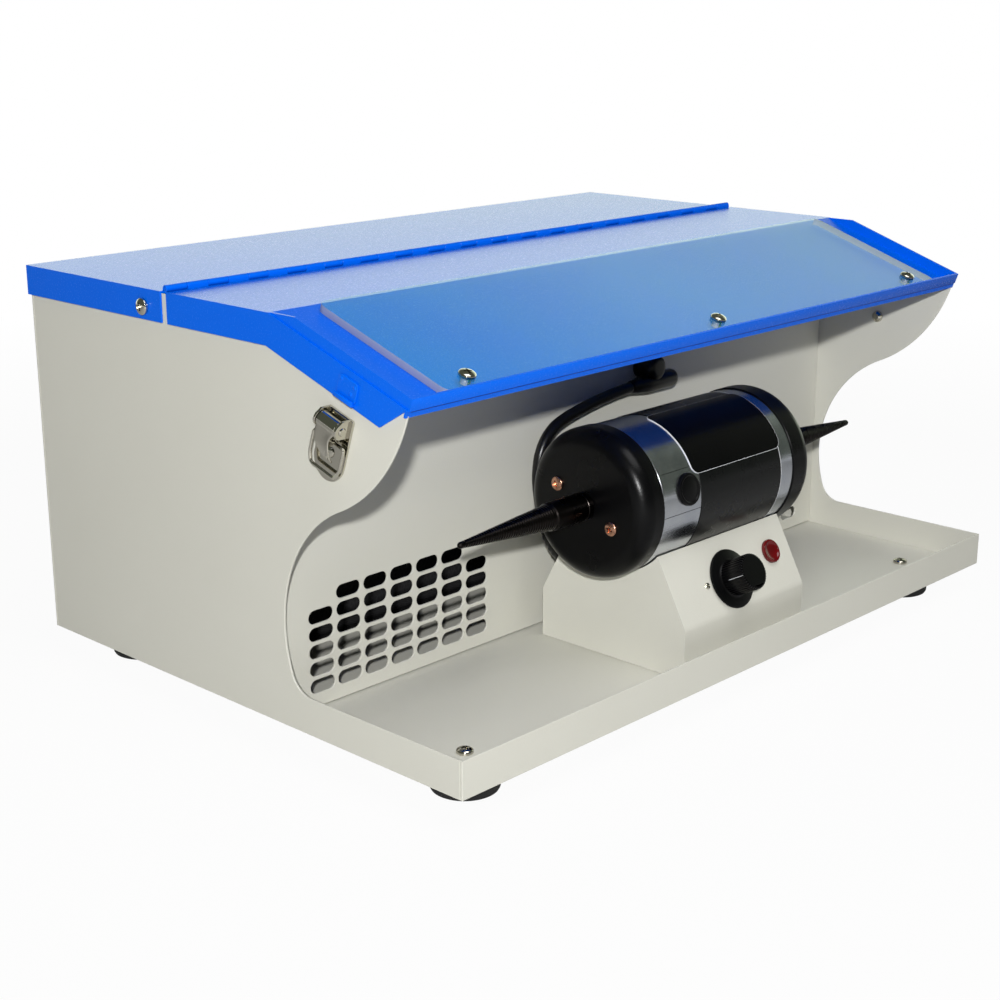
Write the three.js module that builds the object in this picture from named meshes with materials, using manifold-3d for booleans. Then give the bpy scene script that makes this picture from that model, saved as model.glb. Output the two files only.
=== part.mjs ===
// Bench polishing machine with a dust hood.
// A sheet-metal cabinet holds a double-ended motor over an open tray. A hinged lid closes the dust chamber
// behind the motor, and a fan at the back draws air through two slotted grilles and a foam filter.
// Millimetres. X runs to the right, Y to the back and Z up. The origin is on the bench, under the middle.

import * as THREE from 'three';
import { mergeVertices } from 'three/addons/utils/BufferGeometryUtils.js';
import Module from 'manifold-3d';

const wasm = await Module();
wasm.setup();

const DEGREE = Math.PI / 180;
const QUARTER_TURN = 90 * DEGREE;

// Cabinet and its sheet metal
const CABINET_WIDTH = 450;
const CABINET_DEPTH = 318.5;
const BODY_HEIGHT = 201;
const SHEET = 1.2;
const COVER_SHEET = 1;
const SEAM = 0.2;
const COVER_GAP = 0.3;
const CUT = 5;
const WELD = 1e-4;

// Feet and their screws
const FOOT_HEIGHT = 16;
const FOOT_RADIUS = 15.5;
const FOOT_WAIST = 13.5;
const FOOT_CHAMFER = 1.5;
const FOOT_FROM_SIDE = 35;
const FOOT_FROM_LIP = 33;
const FOOT_SCREW_DEPTH = 10;
const SCREW_RADIUS = 2;
const SCREW_HEAD_RADIUS = 4.2;
const SCREW_HEAD_HEIGHT = 2.6;
const SCREW_PLAY = 0.3;

// Tray and side panels
const LIP_HEIGHT = 18.9;
const LIP_FILLET = 14;
const BAY_RADIUS = 70.3;
const BAY_CENTRE_BEHIND_LIP = 47.6;
const BAY_CENTRE_ABOVE_FLOOR = 50.7;
const NOSE_CENTRE_BEHIND_LIP = 112.7;
const NOSE_CENTRE_BELOW_TOP = 7.4;

// Intake panel: a slot pattern on each side, the top row short of its two end columns
const INTAKE_BEHIND_LIP = 122;
const FLOOR_JOINT = 0.6;
const SLOT_LENGTH = 14;
const SLOT_HEIGHT = 6.5;
const SLOT_COLUMNS = 7;
const SLOT_ROWS = 6;
const SLOT_COLUMN_PITCH = 18;
const SLOT_ROW_PITCH = 9;
const SLOTS_FROM_SIDE = 25.1;
const SLOTS_ABOVE_FLOOR = 11.2;

// Covers
const HINGE_BEHIND_LIP = 199;
const REAR_COVER_FROM_HINGE = 2.2;
const FRONT_COVER_FROM_HINGE = 2.5;
const BREAK_BEHIND_LIP = 120;
const SLOPE = 18.57 * DEGREE;
const SLOPE_LENGTH = 95.8;
const FLANGE_DEPTH = 15.4;
const FLANGE_SETBACK = 14;
const RIM_HEIGHT = 5.5;
const RIM_SHEET = 1.2;
const RIM_GROOVE = 0.9;
const FRONT_LIP_DEPTH = 4;
const COVER_SCREW_BEHIND_HINGE = 16.3;
const COVER_SCREW_BELOW_TOP = 9;

// Piano hinge
const BARREL_RADIUS = 1.75;
const BARREL_ABOVE_TOP = 1.25;
const PIN_RADIUS = 0.8;
const PIN_PLAY = 0.35;
const KNUCKLES = 36;
const KNUCKLE_PLAY = 0.3;
const LEAF_WIDTH = 14;
const LEAF_SHEET = 1;
const WEB_SHEET = 0.9;

// Clear screen
const SCREEN_FROM_SIDE = 23;
const SCREEN_THICKNESS = 3.8;
const SCREEN_FROM_BREAK = 4.5;
const SCREEN_SCREW_FROM_SIDE = 19;
const SCREEN_SCREW_FROM_FRONT = 8.5;

// Latches
const LATCH_BELOW_BREAK = 55;
const LATCH_BEHIND_LIP = 79;
const LATCH_WIDTH = 20;
const LATCH_TOP = 18;
const LATCH_BOTTOM = 16.5;
const LATCH_CORNER = 4;
const LATCH_PLATE = 1.2;
const LATCH_AXIS_UP = 13;
const LATCH_AXIS_OUT = 5.4;
const LATCH_EAR_SPAN = 17;
const LATCH_EAR_SHEET = 1.2;
const LATCH_EAR_RADIUS = 4.2;
const LATCH_PIN_RADIUS = 1.1;
const LATCH_PLAY = 0.35;
const LEVER_ROLL_RADIUS = 3.8;
const LEVER_SHEET = 1.1;
const LEVER_TONGUE = [
    [-6.9, -6.5], [-4.6, -11.5], [0.5, -15], [6.6, -16.5], [6.3, -11.5], [4.4, -6], [6.9, -3],
];
const BAIL_WIRE_RADIUS = 0.8;
const BAIL_AXIS_UP = 4.6;
const BAIL_AXIS_OUT = 3.8;
const BAIL_WIDTH = 22;
const BAIL_LENGTH = 17.6;
const BAIL_FOOT_WIDTH = 16.4;
const BAIL_CORNER = 2;
const BAIL_SHOULDER = 4;
const LUG_WIDTH = 3;
const LUG_WALL = 0.9;
const KEEPER_WIDTH = 13;
const KEEPER_HEIGHT = 11;
const KEEPER_SHEET = 1;
const KEEPER_HOOK = 2.4;
const KEEPER_ABOVE_EDGE = 1.2;
const KEEPER_FORWARD = 2.6;
const RIVET_RADIUS = 1.6;
const RIVET_HEAD_RADIUS = 3.6;
const RIVET_HEAD_HEIGHT = 2.2;
const RIVET_BELOW_AXIS = 15.5;

// Motor
const MOTOR_BEHIND_LIP = 61;
const MOTOR_ABOVE_FLOOR = 88.4;
const CAN_RADIUS = 39;
const CAN_WALL = 2.2;
const BAND_STEP = 0.3;
const CAN_LEFT = 59;
const CAN_RIGHT = 52;
const SLEEVE_LEFT = 29;
const SLEEVE_RIGHT = 41;
const CAP_LEFT = 75;
const CAP_RIGHT = 71;
const CAP_RADIUS = 39.4;
const CAP_ROUND = 8;
const CAP_WALL = 3;
const BEARING_RADIUS = 11;
const BEARING_WIDTH = 7;
const BEARING_BOSS_WALL = 3;
const SHAFT_RADIUS = 4;
const SHAFT_PLAY = 0.4;
const SHAFT_REACH = 92;
const ARMATURE_RADIUS = 19;
const ARMATURE_LENGTH = 52;
const COMMUTATOR_RADIUS = 12;
const COMMUTATOR_LENGTH = 16;
const ROTOR_GAP = 1;
const STATOR_LENGTH = 56;
const BRUSH_AT = 39;
const BRUSH_RADIUS = 8.4;
const BRUSH_PROUD = 1.6;
const BRUSH_BEVEL = 0.6;
const BRUSH_TILT = 13 * DEGREE;
const BRUSH_SLOT = 1.4;
const CAP_SCREW_CIRCLE = 19.8;
const CAP_SCREW_TILT = 25 * DEGREE;
const CAP_SCREW_HEAD_RADIUS = 3.7;
const CAP_SCREW_HEAD_HEIGHT = 1.4;
const CAP_SCREW_RADIUS = 1.6;

// Tapered spindles
const COLLAR_RADIUS = 7.3;
const COLLAR_END = 103;
const COLLAR_GAP = 0.5;
const TAPER_RADIUS = 6.8;
const TAPER_TIP_RADIUS = 1;
const TAPER_TIP = 165.5;

// Motor base
const BASE_HALF_WIDTH = 52;
const BASE_HALF_DEPTH = 48.5;
const BASE_WALL_HEIGHT = 27.1;
const BASE_TOP_HALF_DEPTH = 29.6;
const BASE_TOP_HEIGHT = 62.3;
const BASE_SHEET = 1.5;
const BASE_BEND = 8;
const CRADLE_GAP = 0.3;

// Knob, speed control and pilot lamp, on the slanted front of the motor base
const KNOB_LEFT = 5;
const KNOB_UP = 16;
const KNOB_SKIRT_RADIUS = 16;
const KNOB_SKIRT_HEIGHT = 1.6;
const KNOB_GRIP_RADIUS = 9.7;
const KNOB_HEIGHT = 17.4;
const KNOB_FLUTES = 20;
const KNOB_FLUTE_DEPTH = 0.7;
const KNOB_SHAFT_RADIUS = 3;
const KNOB_FLOAT = 0.8;
const CONTROL_RADIUS = 10;
const CONTROL_DEPTH = 9;
const CONTROL_BUSH_RADIUS = 4.6;
const LAMP_RIGHT = 34.2;
const LAMP_UP = 22;
const LAMP_RADIUS = 6.5;
const LAMP_NECK_RADIUS = 4.8;
const LAMP_PROUD = 2.4;
const LAMP_DEPTH = 12;

// Motor lead: its centre line, from inside the motor base to the gland on the intake panel.
// Each point has its X, its distance behind the tray's lip and its height above the tray's floor
const LEAD_RADIUS = 3.2;
const LEAD_STEPS = 26;
const LEAD_SIDES = 8;
const LEAD_ROUTE = [
    [-45, 95.6, 42.6], [-45, 101, 45.5], [-45.2, 106.5, 49.4], [-45.8, 110.5, 54.6], [-46.8, 113, 60.8],
    [-48.5, 114, 68.3], [-50.3, 114, 76.8], [-51.8, 113.8, 85.3], [-52, 113.5, 92.8], [-50.4, 113.5, 100.8],
    [-46.2, 113.5, 108], [-39.5, 113.5, 113.6], [-30, 113.5, 117.1], [-19, 113.6, 119.5],
    [-6, 113.8, 121.7], [8, 114, 123.4], [24, 114, 124.8],
];
const LEAD_HOLE_RADIUS = 4.2;
const LEAD_HOLE_UP = 20;
const GLAND_X = 43;
const GLAND_ABOVE_FLOOR = 132.8;
const GLAND_RADIUS = 8;
const GLAND_REACH = 14;
const GLAND_BEVEL = 1.5;
const GLAND_NECK_RADIUS = 5.5;
const GLAND_BEHIND_PANEL = 2;
const GLAND_TAIL_GAP = 0.5;
const GLAND_TAIL_RADIUS = 5.2;
const GLAND_TAIL_TAPER = 12;
const GLAND_TAIL_ROUND = 3;
const GLAND_TAIL_END = 63.5;

// Dust filter and partition
const PARTITION_BEHIND_HINGE = 15;
const PARTITION_FLANGE = 10;
const WINDOW_MARGIN = 30;
const FILTER_THICKNESS = 12;
const FILTER_PLAY = 0.3;

// Extractor fan
const FAN_SIZE = 120;
const FAN_DEPTH = 25;
const FAN_BORE = 57;
const FAN_CORNER = 6;
const FAN_ABOVE_FLOOR = 98;
const FAN_HUB_RADIUS = 19;
const FAN_MOTOR_DEPTH = 6;
const FAN_STRUTS = 4;
const FAN_STRUT_WIDTH = 5;
const FAN_BLADES = 7;
const FAN_BLADE_CHORD = 26;
const FAN_BLADE_SHEET = 2;
const FAN_BLADE_PITCH = 38 * DEGREE;
const FAN_TIP_GAP = 2;
const FAN_PIN_RADIUS = 2;
const FAN_PLAY = 0.5;
const EXHAUST_COLUMNS = 5;
const EXHAUST_ROWS = 7;

// Power inlet and switch on the back
const INLET_FROM_SIDE = 75;
const INLET_ABOVE_FLOOR = 46;
const INLET_WIDTH = 32;
const INLET_HEIGHT = 62;
const INLET_FLANGE = 1.2;
const INLET_BORDER = 2.5;
const INLET_BODY_DEPTH = 24;
const SOCKET_WIDTH = 23;
const SOCKET_HEIGHT = 15.5;
const SOCKET_DEPTH = 16;
const SOCKET_FROM_CENTRE = 13;
const BLADE_WIDTH = 2;
const BLADE_HEIGHT = 4;
const BLADE_PITCH = 7;
const SWITCH_WIDTH = 13;
const SWITCH_HEIGHT = 20;
const SWITCH_DEPTH = 10;
const SWITCH_FROM_CENTRE = 15;
const ROCKER_PLAY = 0.5;
const ROCKER_END_GAP = 1.4;
const ROCKER_PROUD = 1.6;
const ROCKER_TILT = 6 * DEGREE;
const ROCKER_AXIS_DEPTH = 3;

// Places that follow from the sizes above
const OVERALL_DEPTH = CABINET_DEPTH - COVER_SHEET - COVER_GAP + INLET_FLANGE + ROCKER_PROUD;
const FRONT = -OVERALL_DEPTH / 2;
const COVER_BACK = FRONT + CABINET_DEPTH;
const REAR_FACE = COVER_BACK - COVER_SHEET - COVER_GAP;
const REAR_INNER = REAR_FACE - SHEET;
const HALF_WIDTH = CABINET_WIDTH / 2;
const INLET_X = HALF_WIDTH - INLET_FROM_SIDE;
const SIDE_INNER = HALF_WIDTH - SHEET;
const INSIDE = SIDE_INNER - SEAM;
const COVER_HALF = HALF_WIDTH + COVER_GAP + COVER_SHEET;
const FLOOR = FOOT_HEIGHT + SHEET;
const LIP_TOP = FOOT_HEIGHT + LIP_HEIGHT;
const COVER_TOP = FOOT_HEIGHT + BODY_HEIGHT;
const COVER_UNDER = COVER_TOP - COVER_SHEET;
const PANEL_TOP = COVER_UNDER - COVER_GAP;
const HINGE_Y = FRONT + HINGE_BEHIND_LIP;
const HINGE_Z = COVER_TOP + BARREL_ABOVE_TOP;
const BREAK_Y = FRONT + BREAK_BEHIND_LIP;
const INTAKE_Y = FRONT + INTAKE_BEHIND_LIP;
const MOTOR_Y = FRONT + MOTOR_BEHIND_LIP;
const MOTOR_Z = FLOOR + MOTOR_ABOVE_FLOOR;

// Number of straight steps in round shapes
const SMOOTH_STEPS = 24;
const ROUND_STEPS = 18;
const FINE_STEPS = 12;
const SMALL_STEPS = 8;
const WIRE_STEPS = 6;
const ARC_STEPS = 5;
const SLOT_STEPS = 2;

// Finishes
const PAINT = { color: 0xc9c8c0, roughness: 0.55, metalness: 0.1 };
const BLUE = { color: 0x0060e0, roughness: 0.3, metalness: 0.1 };
const CHROME = { color: 0xc8c8cc, roughness: 0.15, metalness: 1 };
const RUBBER = { color: 0x161616, roughness: 0.8, metalness: 0 };
const BLACK = { color: 0x141416, roughness: 0.4, metalness: 0 };
const POLISHED = { color: 0xb8bcc2, roughness: 0.2, metalness: 1 };
const DARK_STEEL = { color: 0x1d1a19, roughness: 0.35, metalness: 0.8 };
const COPPER = { color: 0xb4764f, roughness: 0.35, metalness: 1 };
const CLEAR = { color: 0xdfe8f0, roughness: 0.05, metalness: 0, transparent: true, opacity: 0.35 };
const RED = { color: 0x9c0c14, roughness: 0.15, metalness: 0 };
const FOAM = { color: 0x0c0c0d, roughness: 0.95, metalness: 0 };
const STEEL = { color: 0x9a9a9e, roughness: 0.4, metalness: 1 };

const machine = new THREE.Group();

// From here on, each shape is a closed solid until piece() hangs it in the scene

function closedGeometry(geometry) {
    const bare = geometry.index ? geometry.toNonIndexed() : geometry.clone();
    bare.deleteAttribute('normal');
    bare.deleteAttribute('uv');
    const merged = mergeVertices(bare, WELD);
    const kept = [];
    for (let i = 0; i < merged.index.count; i += 3) {
        const [a, b, c] = [0, 1, 2].map((k) => merged.index.getX(i + k));
        if (a !== b && b !== c && a !== c) kept.push(a, b, c);
    }
    merged.setIndex(kept);
    return merged;
}

function signedVolume(geometry) {
    const at = geometry.getAttribute('position');
    const corners = [0, 1, 2].map(() => new THREE.Vector3());
    let sum = 0;
    for (let i = 0; i < geometry.index.count; i += 3) {
        corners.forEach((corner, k) => corner.fromBufferAttribute(at, geometry.index.getX(i + k)));
        sum += corners[0].dot(corners[1].clone().cross(corners[2]));
    }
    return sum / 6;
}

function solid(geometry) {
    const closed = closedGeometry(geometry);
    const triangles = new Uint32Array(closed.index.array);
    if (signedVolume(closed) < 0) triangles.reverse();
    const vertices = new Float32Array(closed.getAttribute('position').array);
    return new wasm.Manifold(new wasm.Mesh({ numProp: 3, vertProperties: vertices, triVerts: triangles }));
}

function joined(...solids) {
    return solids.reduce((whole, next) => whole.add(next));
}

function geometryOf(shape) {
    const mesh = shape.getMesh();
    const geometry = new THREE.BufferGeometry();
    geometry.setAttribute('position', new THREE.Float32BufferAttribute(Array.from(mesh.vertProperties), 3));
    geometry.setIndex(Array.from(mesh.triVerts));
    geometry.computeVertexNormals();
    return geometry;
}

function piece(name, shape, finish, parent = machine) {
    const mesh = new THREE.Mesh(geometryOf(shape), new THREE.MeshStandardMaterial(finish));
    mesh.name = name;
    parent.add(mesh);
    return mesh;
}

function frameAt(x, y, z, parent = machine) {
    const frame = new THREE.Group();
    frame.position.set(x, y, z);
    parent.add(frame);
    return frame;
}

// Outlines are lists of [u, v]; arcs and holes are added to them as points

function arc([u, v], radius, from, to, steps) {
    const points = [];
    for (let i = 0; i <= steps; i += 1) {
        const angle = from + ((to - from) * i) / steps;
        points.push([u + radius * Math.cos(angle), v + radius * Math.sin(angle)]);
    }
    return points;
}

function circle(centre, radius, steps = FINE_STEPS) {
    return arc(centre, radius, 0, 2 * Math.PI, steps).slice(0, -1);
}

function obround([u, v], length, height) {
    const end = height / 2;
    const reach = length / 2 - end;
    return [
        ...arc([u + reach, v], end, -QUARTER_TURN, QUARTER_TURN, SLOT_STEPS),
        ...arc([u - reach, v], end, QUARTER_TURN, 3 * QUARTER_TURN, SLOT_STEPS),
    ];
}

function rectangle(u0, u1, v0, v1) {
    return [[u0, v0], [u1, v0], [u1, v1], [u0, v1]];
}

function pathOf(points, Kind) {
    return new Kind(points.map(([u, v]) => new THREE.Vector2(u, v)));
}

function extruded(outline, depth, holes = []) {
    const shape = pathOf(outline, THREE.Shape);
    shape.holes = holes.map((hole) => pathOf(hole, THREE.Path));
    return new THREE.ExtrudeGeometry(shape, { depth, bevelEnabled: false });
}

// A plate across X has its outline in Y and Z, one across Y in X and Z, and one across Z in X and Y

function plateAcrossX(outline, from, to, holes) {
    const turn = new THREE.Matrix4().makeBasis(
        new THREE.Vector3(0, 1, 0), new THREE.Vector3(0, 0, 1), new THREE.Vector3(1, 0, 0));
    return solid(extruded(outline, to - from, holes).applyMatrix4(turn).translate(from, 0, 0));
}

function plateAcrossY(outline, from, to, holes) {
    const turn = new THREE.Matrix4().makeBasis(
        new THREE.Vector3(1, 0, 0), new THREE.Vector3(0, 0, 1), new THREE.Vector3(0, -1, 0));
    return solid(extruded(outline, to - from, holes).applyMatrix4(turn).translate(0, to, 0));
}

function plateAcrossZ(outline, from, to, holes) {
    return solid(extruded(outline, to - from, holes).translate(0, 0, from));
}

function block(x0, x1, y0, y1, z0, z1) {
    return plateAcrossZ(rectangle(x0, x1, y0, y1), z0, z1);
}

// A turned shape has a profile of [height, radius], round the Z axis
function turnedGeometry(profile, steps) {
    const points = profile.map(([height, radius]) => new THREE.Vector2(radius, height));
    return new THREE.LatheGeometry(points, steps).rotateX(QUARTER_TURN);
}

function turned(profile, steps = FINE_STEPS) {
    return solid(turnedGeometry(profile, steps));
}

function turnedRoundX(profile, steps = FINE_STEPS) {
    return solid(turnedGeometry(profile, steps).rotateY(QUARTER_TURN));
}

function turnedRoundY(profile, steps = FINE_STEPS) {
    return solid(turnedGeometry(profile, steps).rotateX(-QUARTER_TURN));
}

// A closed loop of wire through points in Y and Z, mitred at each of them
function wireLoop(points, radius) {
    const centres = points.map(([y, z]) => new THREE.Vector2(y, z));
    const count = centres.length;
    const positions = [];
    const triangles = [];
    centres.forEach((centre, i) => {
        const before = centre.clone().sub(centres[(i + count - 1) % count]).normalize();
        const after = centres[(i + 1) % count].clone().sub(centre).normalize();
        const along = before.clone().add(after).normalize();
        const reach = radius / along.dot(before);
        for (let k = 0; k < WIRE_STEPS; k += 1) {
            const angle = (2 * Math.PI * k) / WIRE_STEPS;
            const side = reach * Math.cos(angle);
            positions.push(radius * Math.sin(angle), centre.x - side * along.y, centre.y + side * along.x);
            const [a, b] = [i * WIRE_STEPS + k, i * WIRE_STEPS + ((k + 1) % WIRE_STEPS)];
            const next = ((i + 1) % count) * WIRE_STEPS;
            const [c, d] = [next + k, next + ((k + 1) % WIRE_STEPS)];
            triangles.push(a, b, c, b, d, c);
        }
    });
    const geometry = new THREE.BufferGeometry();
    geometry.setAttribute('position', new THREE.Float32BufferAttribute(positions, 3));
    geometry.setIndex(triangles);
    return solid(geometry);
}

function rodProfile(from, to, radius) {
    return [[from, 0], [from, radius], [to, radius], [to, 0]];
}

function ringProfile(from, to, inner, outer) {
    return [[from, inner], [from, outer], [to, outer], [to, inner], [from, inner]];
}

// A pan-head screw stands on Z = 0 and its shank goes down
function panHeadProfile(shankLength, headRadius, headHeight, shankRadius) {
    return [
        [-shankLength, 0], [-shankLength, shankRadius], [0, shankRadius], [0, headRadius],
        [headHeight / 2, headRadius], [headHeight, headRadius / 2], [headHeight, 0],
    ];
}

// Tray, side panels and rear panel

const FOOT_PLACES = {
    front_left: [-(HALF_WIDTH - FOOT_FROM_SIDE), FRONT + FOOT_FROM_LIP],
    front_right: [HALF_WIDTH - FOOT_FROM_SIDE, FRONT + FOOT_FROM_LIP],
    rear_left: [-(HALF_WIDTH - FOOT_FROM_SIDE), COVER_BACK - FOOT_FROM_LIP],
    rear_right: [HALF_WIDTH - FOOT_FROM_SIDE, COVER_BACK - FOOT_FROM_LIP],
};

function makeTray() {
    const holes = Object.values(FOOT_PLACES).map((place) => circle(place, SCREW_RADIUS + SCREW_PLAY));
    const floor = plateAcrossZ(
        rectangle(-INSIDE, INSIDE, FRONT, REAR_INNER - SEAM), FOOT_HEIGHT, FLOOR, holes);
    const lip = block(-HALF_WIDTH, HALF_WIDTH, FRONT, FRONT + SHEET, FOOT_HEIGHT, LIP_TOP);
    piece('base_tray', joined(floor, lip), PAINT);
}

// The front edge swings round the nose, turns into the open bay and ends in the tray's side lip
function sidePanelOutline() {
    const nose = [FRONT + NOSE_CENTRE_BEHIND_LIP, COVER_TOP - NOSE_CENTRE_BELOW_TOP];
    const bay = [FRONT + BAY_CENTRE_BEHIND_LIP, FLOOR + BAY_CENTRE_ABOVE_FLOOR];
    const span = Math.hypot(nose[0] - bay[0], nose[1] - bay[1]);
    const noseRadius = span - BAY_RADIUS;
    const toBay = Math.atan2(bay[1] - nose[1], bay[0] - nose[0]);
    const under = COVER_SHEET + COVER_GAP;
    const bend = [BREAK_Y + under * Math.tan(SLOPE / 2), PANEL_TOP];
    const below = (bend[0] - nose[0]) * Math.sin(SLOPE) - (bend[1] - nose[1]) * Math.cos(SLOPE);
    const noseStart = Math.PI + SLOPE - Math.asin(-below / noseRadius);
    const fillet = [0, LIP_TOP + LIP_FILLET];
    fillet[0] = bay[0] + Math.sqrt((BAY_RADIUS - LIP_FILLET) ** 2 - (fillet[1] - bay[1]) ** 2);
    const toFillet = Math.atan2(fillet[1] - bay[1], fillet[0] - bay[0]);
    const back = REAR_INNER - SEAM;
    const front = FRONT + SHEET + SEAM;
    return [
        [back, FOOT_HEIGHT], [back, PANEL_TOP], bend,
        ...arc(nose, noseRadius, noseStart, 2 * Math.PI + toBay, 2 * ARC_STEPS),
        ...arc(bay, BAY_RADIUS, toBay + Math.PI, toFillet, 3 * ARC_STEPS).slice(1),
        ...arc(fillet, LIP_FILLET, toFillet, -QUARTER_TURN, ARC_STEPS).slice(1),
        [front, LIP_TOP], [front, FOOT_HEIGHT],
    ];
}

const COVER_SCREW = [HINGE_Y + COVER_SCREW_BEHIND_HINGE, COVER_TOP - COVER_SCREW_BELOW_TOP];
const LATCH_CENTRE = [FRONT + LATCH_BEHIND_LIP, COVER_TOP - LATCH_BELOW_BREAK];
const LATCH_RIVET = [
    LATCH_CENTRE[0] - (LATCH_AXIS_UP - RIVET_BELOW_AXIS) * Math.sin(SLOPE),
    LATCH_CENTRE[1] + (LATCH_AXIS_UP - RIVET_BELOW_AXIS) * Math.cos(SLOPE),
];

function makeSidePanels() {
    const holes = [
        circle(COVER_SCREW, SCREW_RADIUS + SCREW_PLAY),
        circle(LATCH_RIVET, RIVET_RADIUS + SCREW_PLAY),
    ];
    const outline = sidePanelOutline();
    const lipInner = SLOPE_LENGTH - RIM_GROOVE - COVER_SHEET - COVER_GAP;
    const lipRoom = plateAcrossX(
        acrossSlope(lipInner, SLOPE_LENGTH + CUT, -FRONT_LIP_DEPTH - COVER_GAP, CUT),
        -HALF_WIDTH - CUT, HALF_WIDTH + CUT);
    const left = plateAcrossX(outline, -HALF_WIDTH, -SIDE_INNER, holes);
    const right = plateAcrossX(outline, SIDE_INNER, HALF_WIDTH, holes);
    piece('left_side_panel', left.subtract(lipRoom), PAINT);
    piece('right_side_panel', right.subtract(lipRoom), PAINT);
}

function exhaustSlots() {
    const slots = [];
    const middle = [(EXHAUST_COLUMNS - 1) / 2, (EXHAUST_ROWS - 1) / 2];
    for (let column = 0; column < EXHAUST_COLUMNS; column += 1) {
        for (let row = 0; row < EXHAUST_ROWS; row += 1) {
            const u = (column - middle[0]) * SLOT_COLUMN_PITCH;
            const v = (row - middle[1]) * SLOT_ROW_PITCH;
            const corner = Math.abs(u) + Math.abs(v) > FAN_BORE;
            if (!corner) slots.push(obround([u, FAN_Z + v], SLOT_LENGTH, SLOT_HEIGHT));
        }
    }
    return slots;
}

const FAN_Z = FLOOR + FAN_ABOVE_FLOOR;
const INLET_Z = FLOOR + INLET_ABOVE_FLOOR;

function makeRearPanel() {
    const half = [INLET_WIDTH / 2 - INLET_BORDER + SEAM, INLET_HEIGHT / 2 - INLET_BORDER + SEAM];
    const inlet = rectangle(INLET_X - half[0], INLET_X + half[0], INLET_Z - half[1], INLET_Z + half[1]);
    const outline = rectangle(-HALF_WIDTH, HALF_WIDTH, FOOT_HEIGHT, PANEL_TOP);
    const plate = plateAcrossY(outline, REAR_INNER, REAR_FACE, [inlet, ...exhaustSlots()]);
    piece('rear_panel', plate, PAINT);
}

function makeFeet() {
    const bore = SCREW_RADIUS + SCREW_PLAY;
    const boreEnd = FOOT_HEIGHT - FOOT_SCREW_DEPTH;
    const top = FOOT_HEIGHT - SEAM;
    const foot = turned([
        [0, 0], [0, FOOT_WAIST], [FOOT_CHAMFER, FOOT_WAIST + FOOT_CHAMFER / 2],
        [top - FOOT_CHAMFER, FOOT_RADIUS], [top, FOOT_RADIUS - FOOT_CHAMFER / 2],
        [top, bore], [boreEnd, bore], [boreEnd, 0],
    ]);
    const shank = SHEET + SEAM + FOOT_SCREW_DEPTH - SCREW_PLAY;
    const profile = panHeadProfile(shank, SCREW_HEAD_RADIUS, SCREW_HEAD_HEIGHT, SCREW_RADIUS);
    const screw = turned(profile, SMALL_STEPS);
    for (const [corner, [x, y]] of Object.entries(FOOT_PLACES)) {
        piece(`${corner}_foot`, foot, RUBBER).position.set(x, y, 0);
        piece(`${corner}_foot_screw`, screw, CHROME).position.set(x, y, FLOOR + SEAM);
    }
}

// Intake panel, partition and filter

function intakeSlots(side) {
    const slots = [];
    for (let column = 0; column < SLOT_COLUMNS; column += 1) {
        const atEnd = column === 0 || column === SLOT_COLUMNS - 1;
        const rows = atEnd ? SLOT_ROWS - 1 : SLOT_ROWS;
        const u = side * (SIDE_INNER - SLOTS_FROM_SIDE - column * SLOT_COLUMN_PITCH);
        for (let row = 0; row < rows; row += 1) {
            const v = FLOOR + SLOTS_ABOVE_FLOOR + row * SLOT_ROW_PITCH;
            slots.push(obround([u, v], SLOT_LENGTH, SLOT_HEIGHT));
        }
    }
    return slots;
}

const GLAND_Z = FLOOR + GLAND_ABOVE_FLOOR;

function makeIntakePanel() {
    const outline = rectangle(-INSIDE, INSIDE, FLOOR + FLOOR_JOINT, PANEL_TOP);
    const glandHole = circle([GLAND_X, GLAND_Z], GLAND_NECK_RADIUS + SEAM);
    const holes = [glandHole, ...intakeSlots(-1), ...intakeSlots(1)];
    piece('intake_panel', plateAcrossY(outline, INTAKE_Y, INTAKE_Y + SHEET, holes), PAINT);
}

const LEAF_TOP = COVER_UNDER - SEAM;
const PARTITION_TOP = LEAF_TOP - LEAF_SHEET - SEAM;
const PARTITION_Y = HINGE_Y + PARTITION_BEHIND_HINGE;

function makePartition() {
    const bottom = FLOOR + SEAM;
    const side = INSIDE - WINDOW_MARGIN;
    const window = rectangle(-side, side, bottom + WINDOW_MARGIN, PARTITION_TOP - WINDOW_MARGIN);
    const outline = rectangle(-INSIDE, INSIDE, bottom, PARTITION_TOP);
    const plate = plateAcrossY(outline, PARTITION_Y, PARTITION_Y + SHEET, [window]);
    const flange = block(
        -INSIDE, INSIDE, PARTITION_Y - PARTITION_FLANGE, PARTITION_Y + SHEET,
        PARTITION_TOP - SHEET, PARTITION_TOP);
    piece('partition', joined(plate, flange), PAINT);
    const back = PARTITION_Y - FILTER_PLAY;
    const foam = block(
        -INSIDE + FILTER_PLAY, INSIDE - FILTER_PLAY, back - FILTER_THICKNESS, back,
        FLOOR + FILTER_PLAY, PARTITION_TOP - SHEET - FILTER_PLAY);
    piece('dust_filter', foam, FOAM);
}

// Covers

// A point on the slanted panel: down the slope from the break, and out from its top surface
function onSlope(down, out) {
    return [
        BREAK_Y - down * Math.cos(SLOPE) - out * Math.sin(SLOPE),
        COVER_TOP - down * Math.sin(SLOPE) + out * Math.cos(SLOPE),
    ];
}

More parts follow.
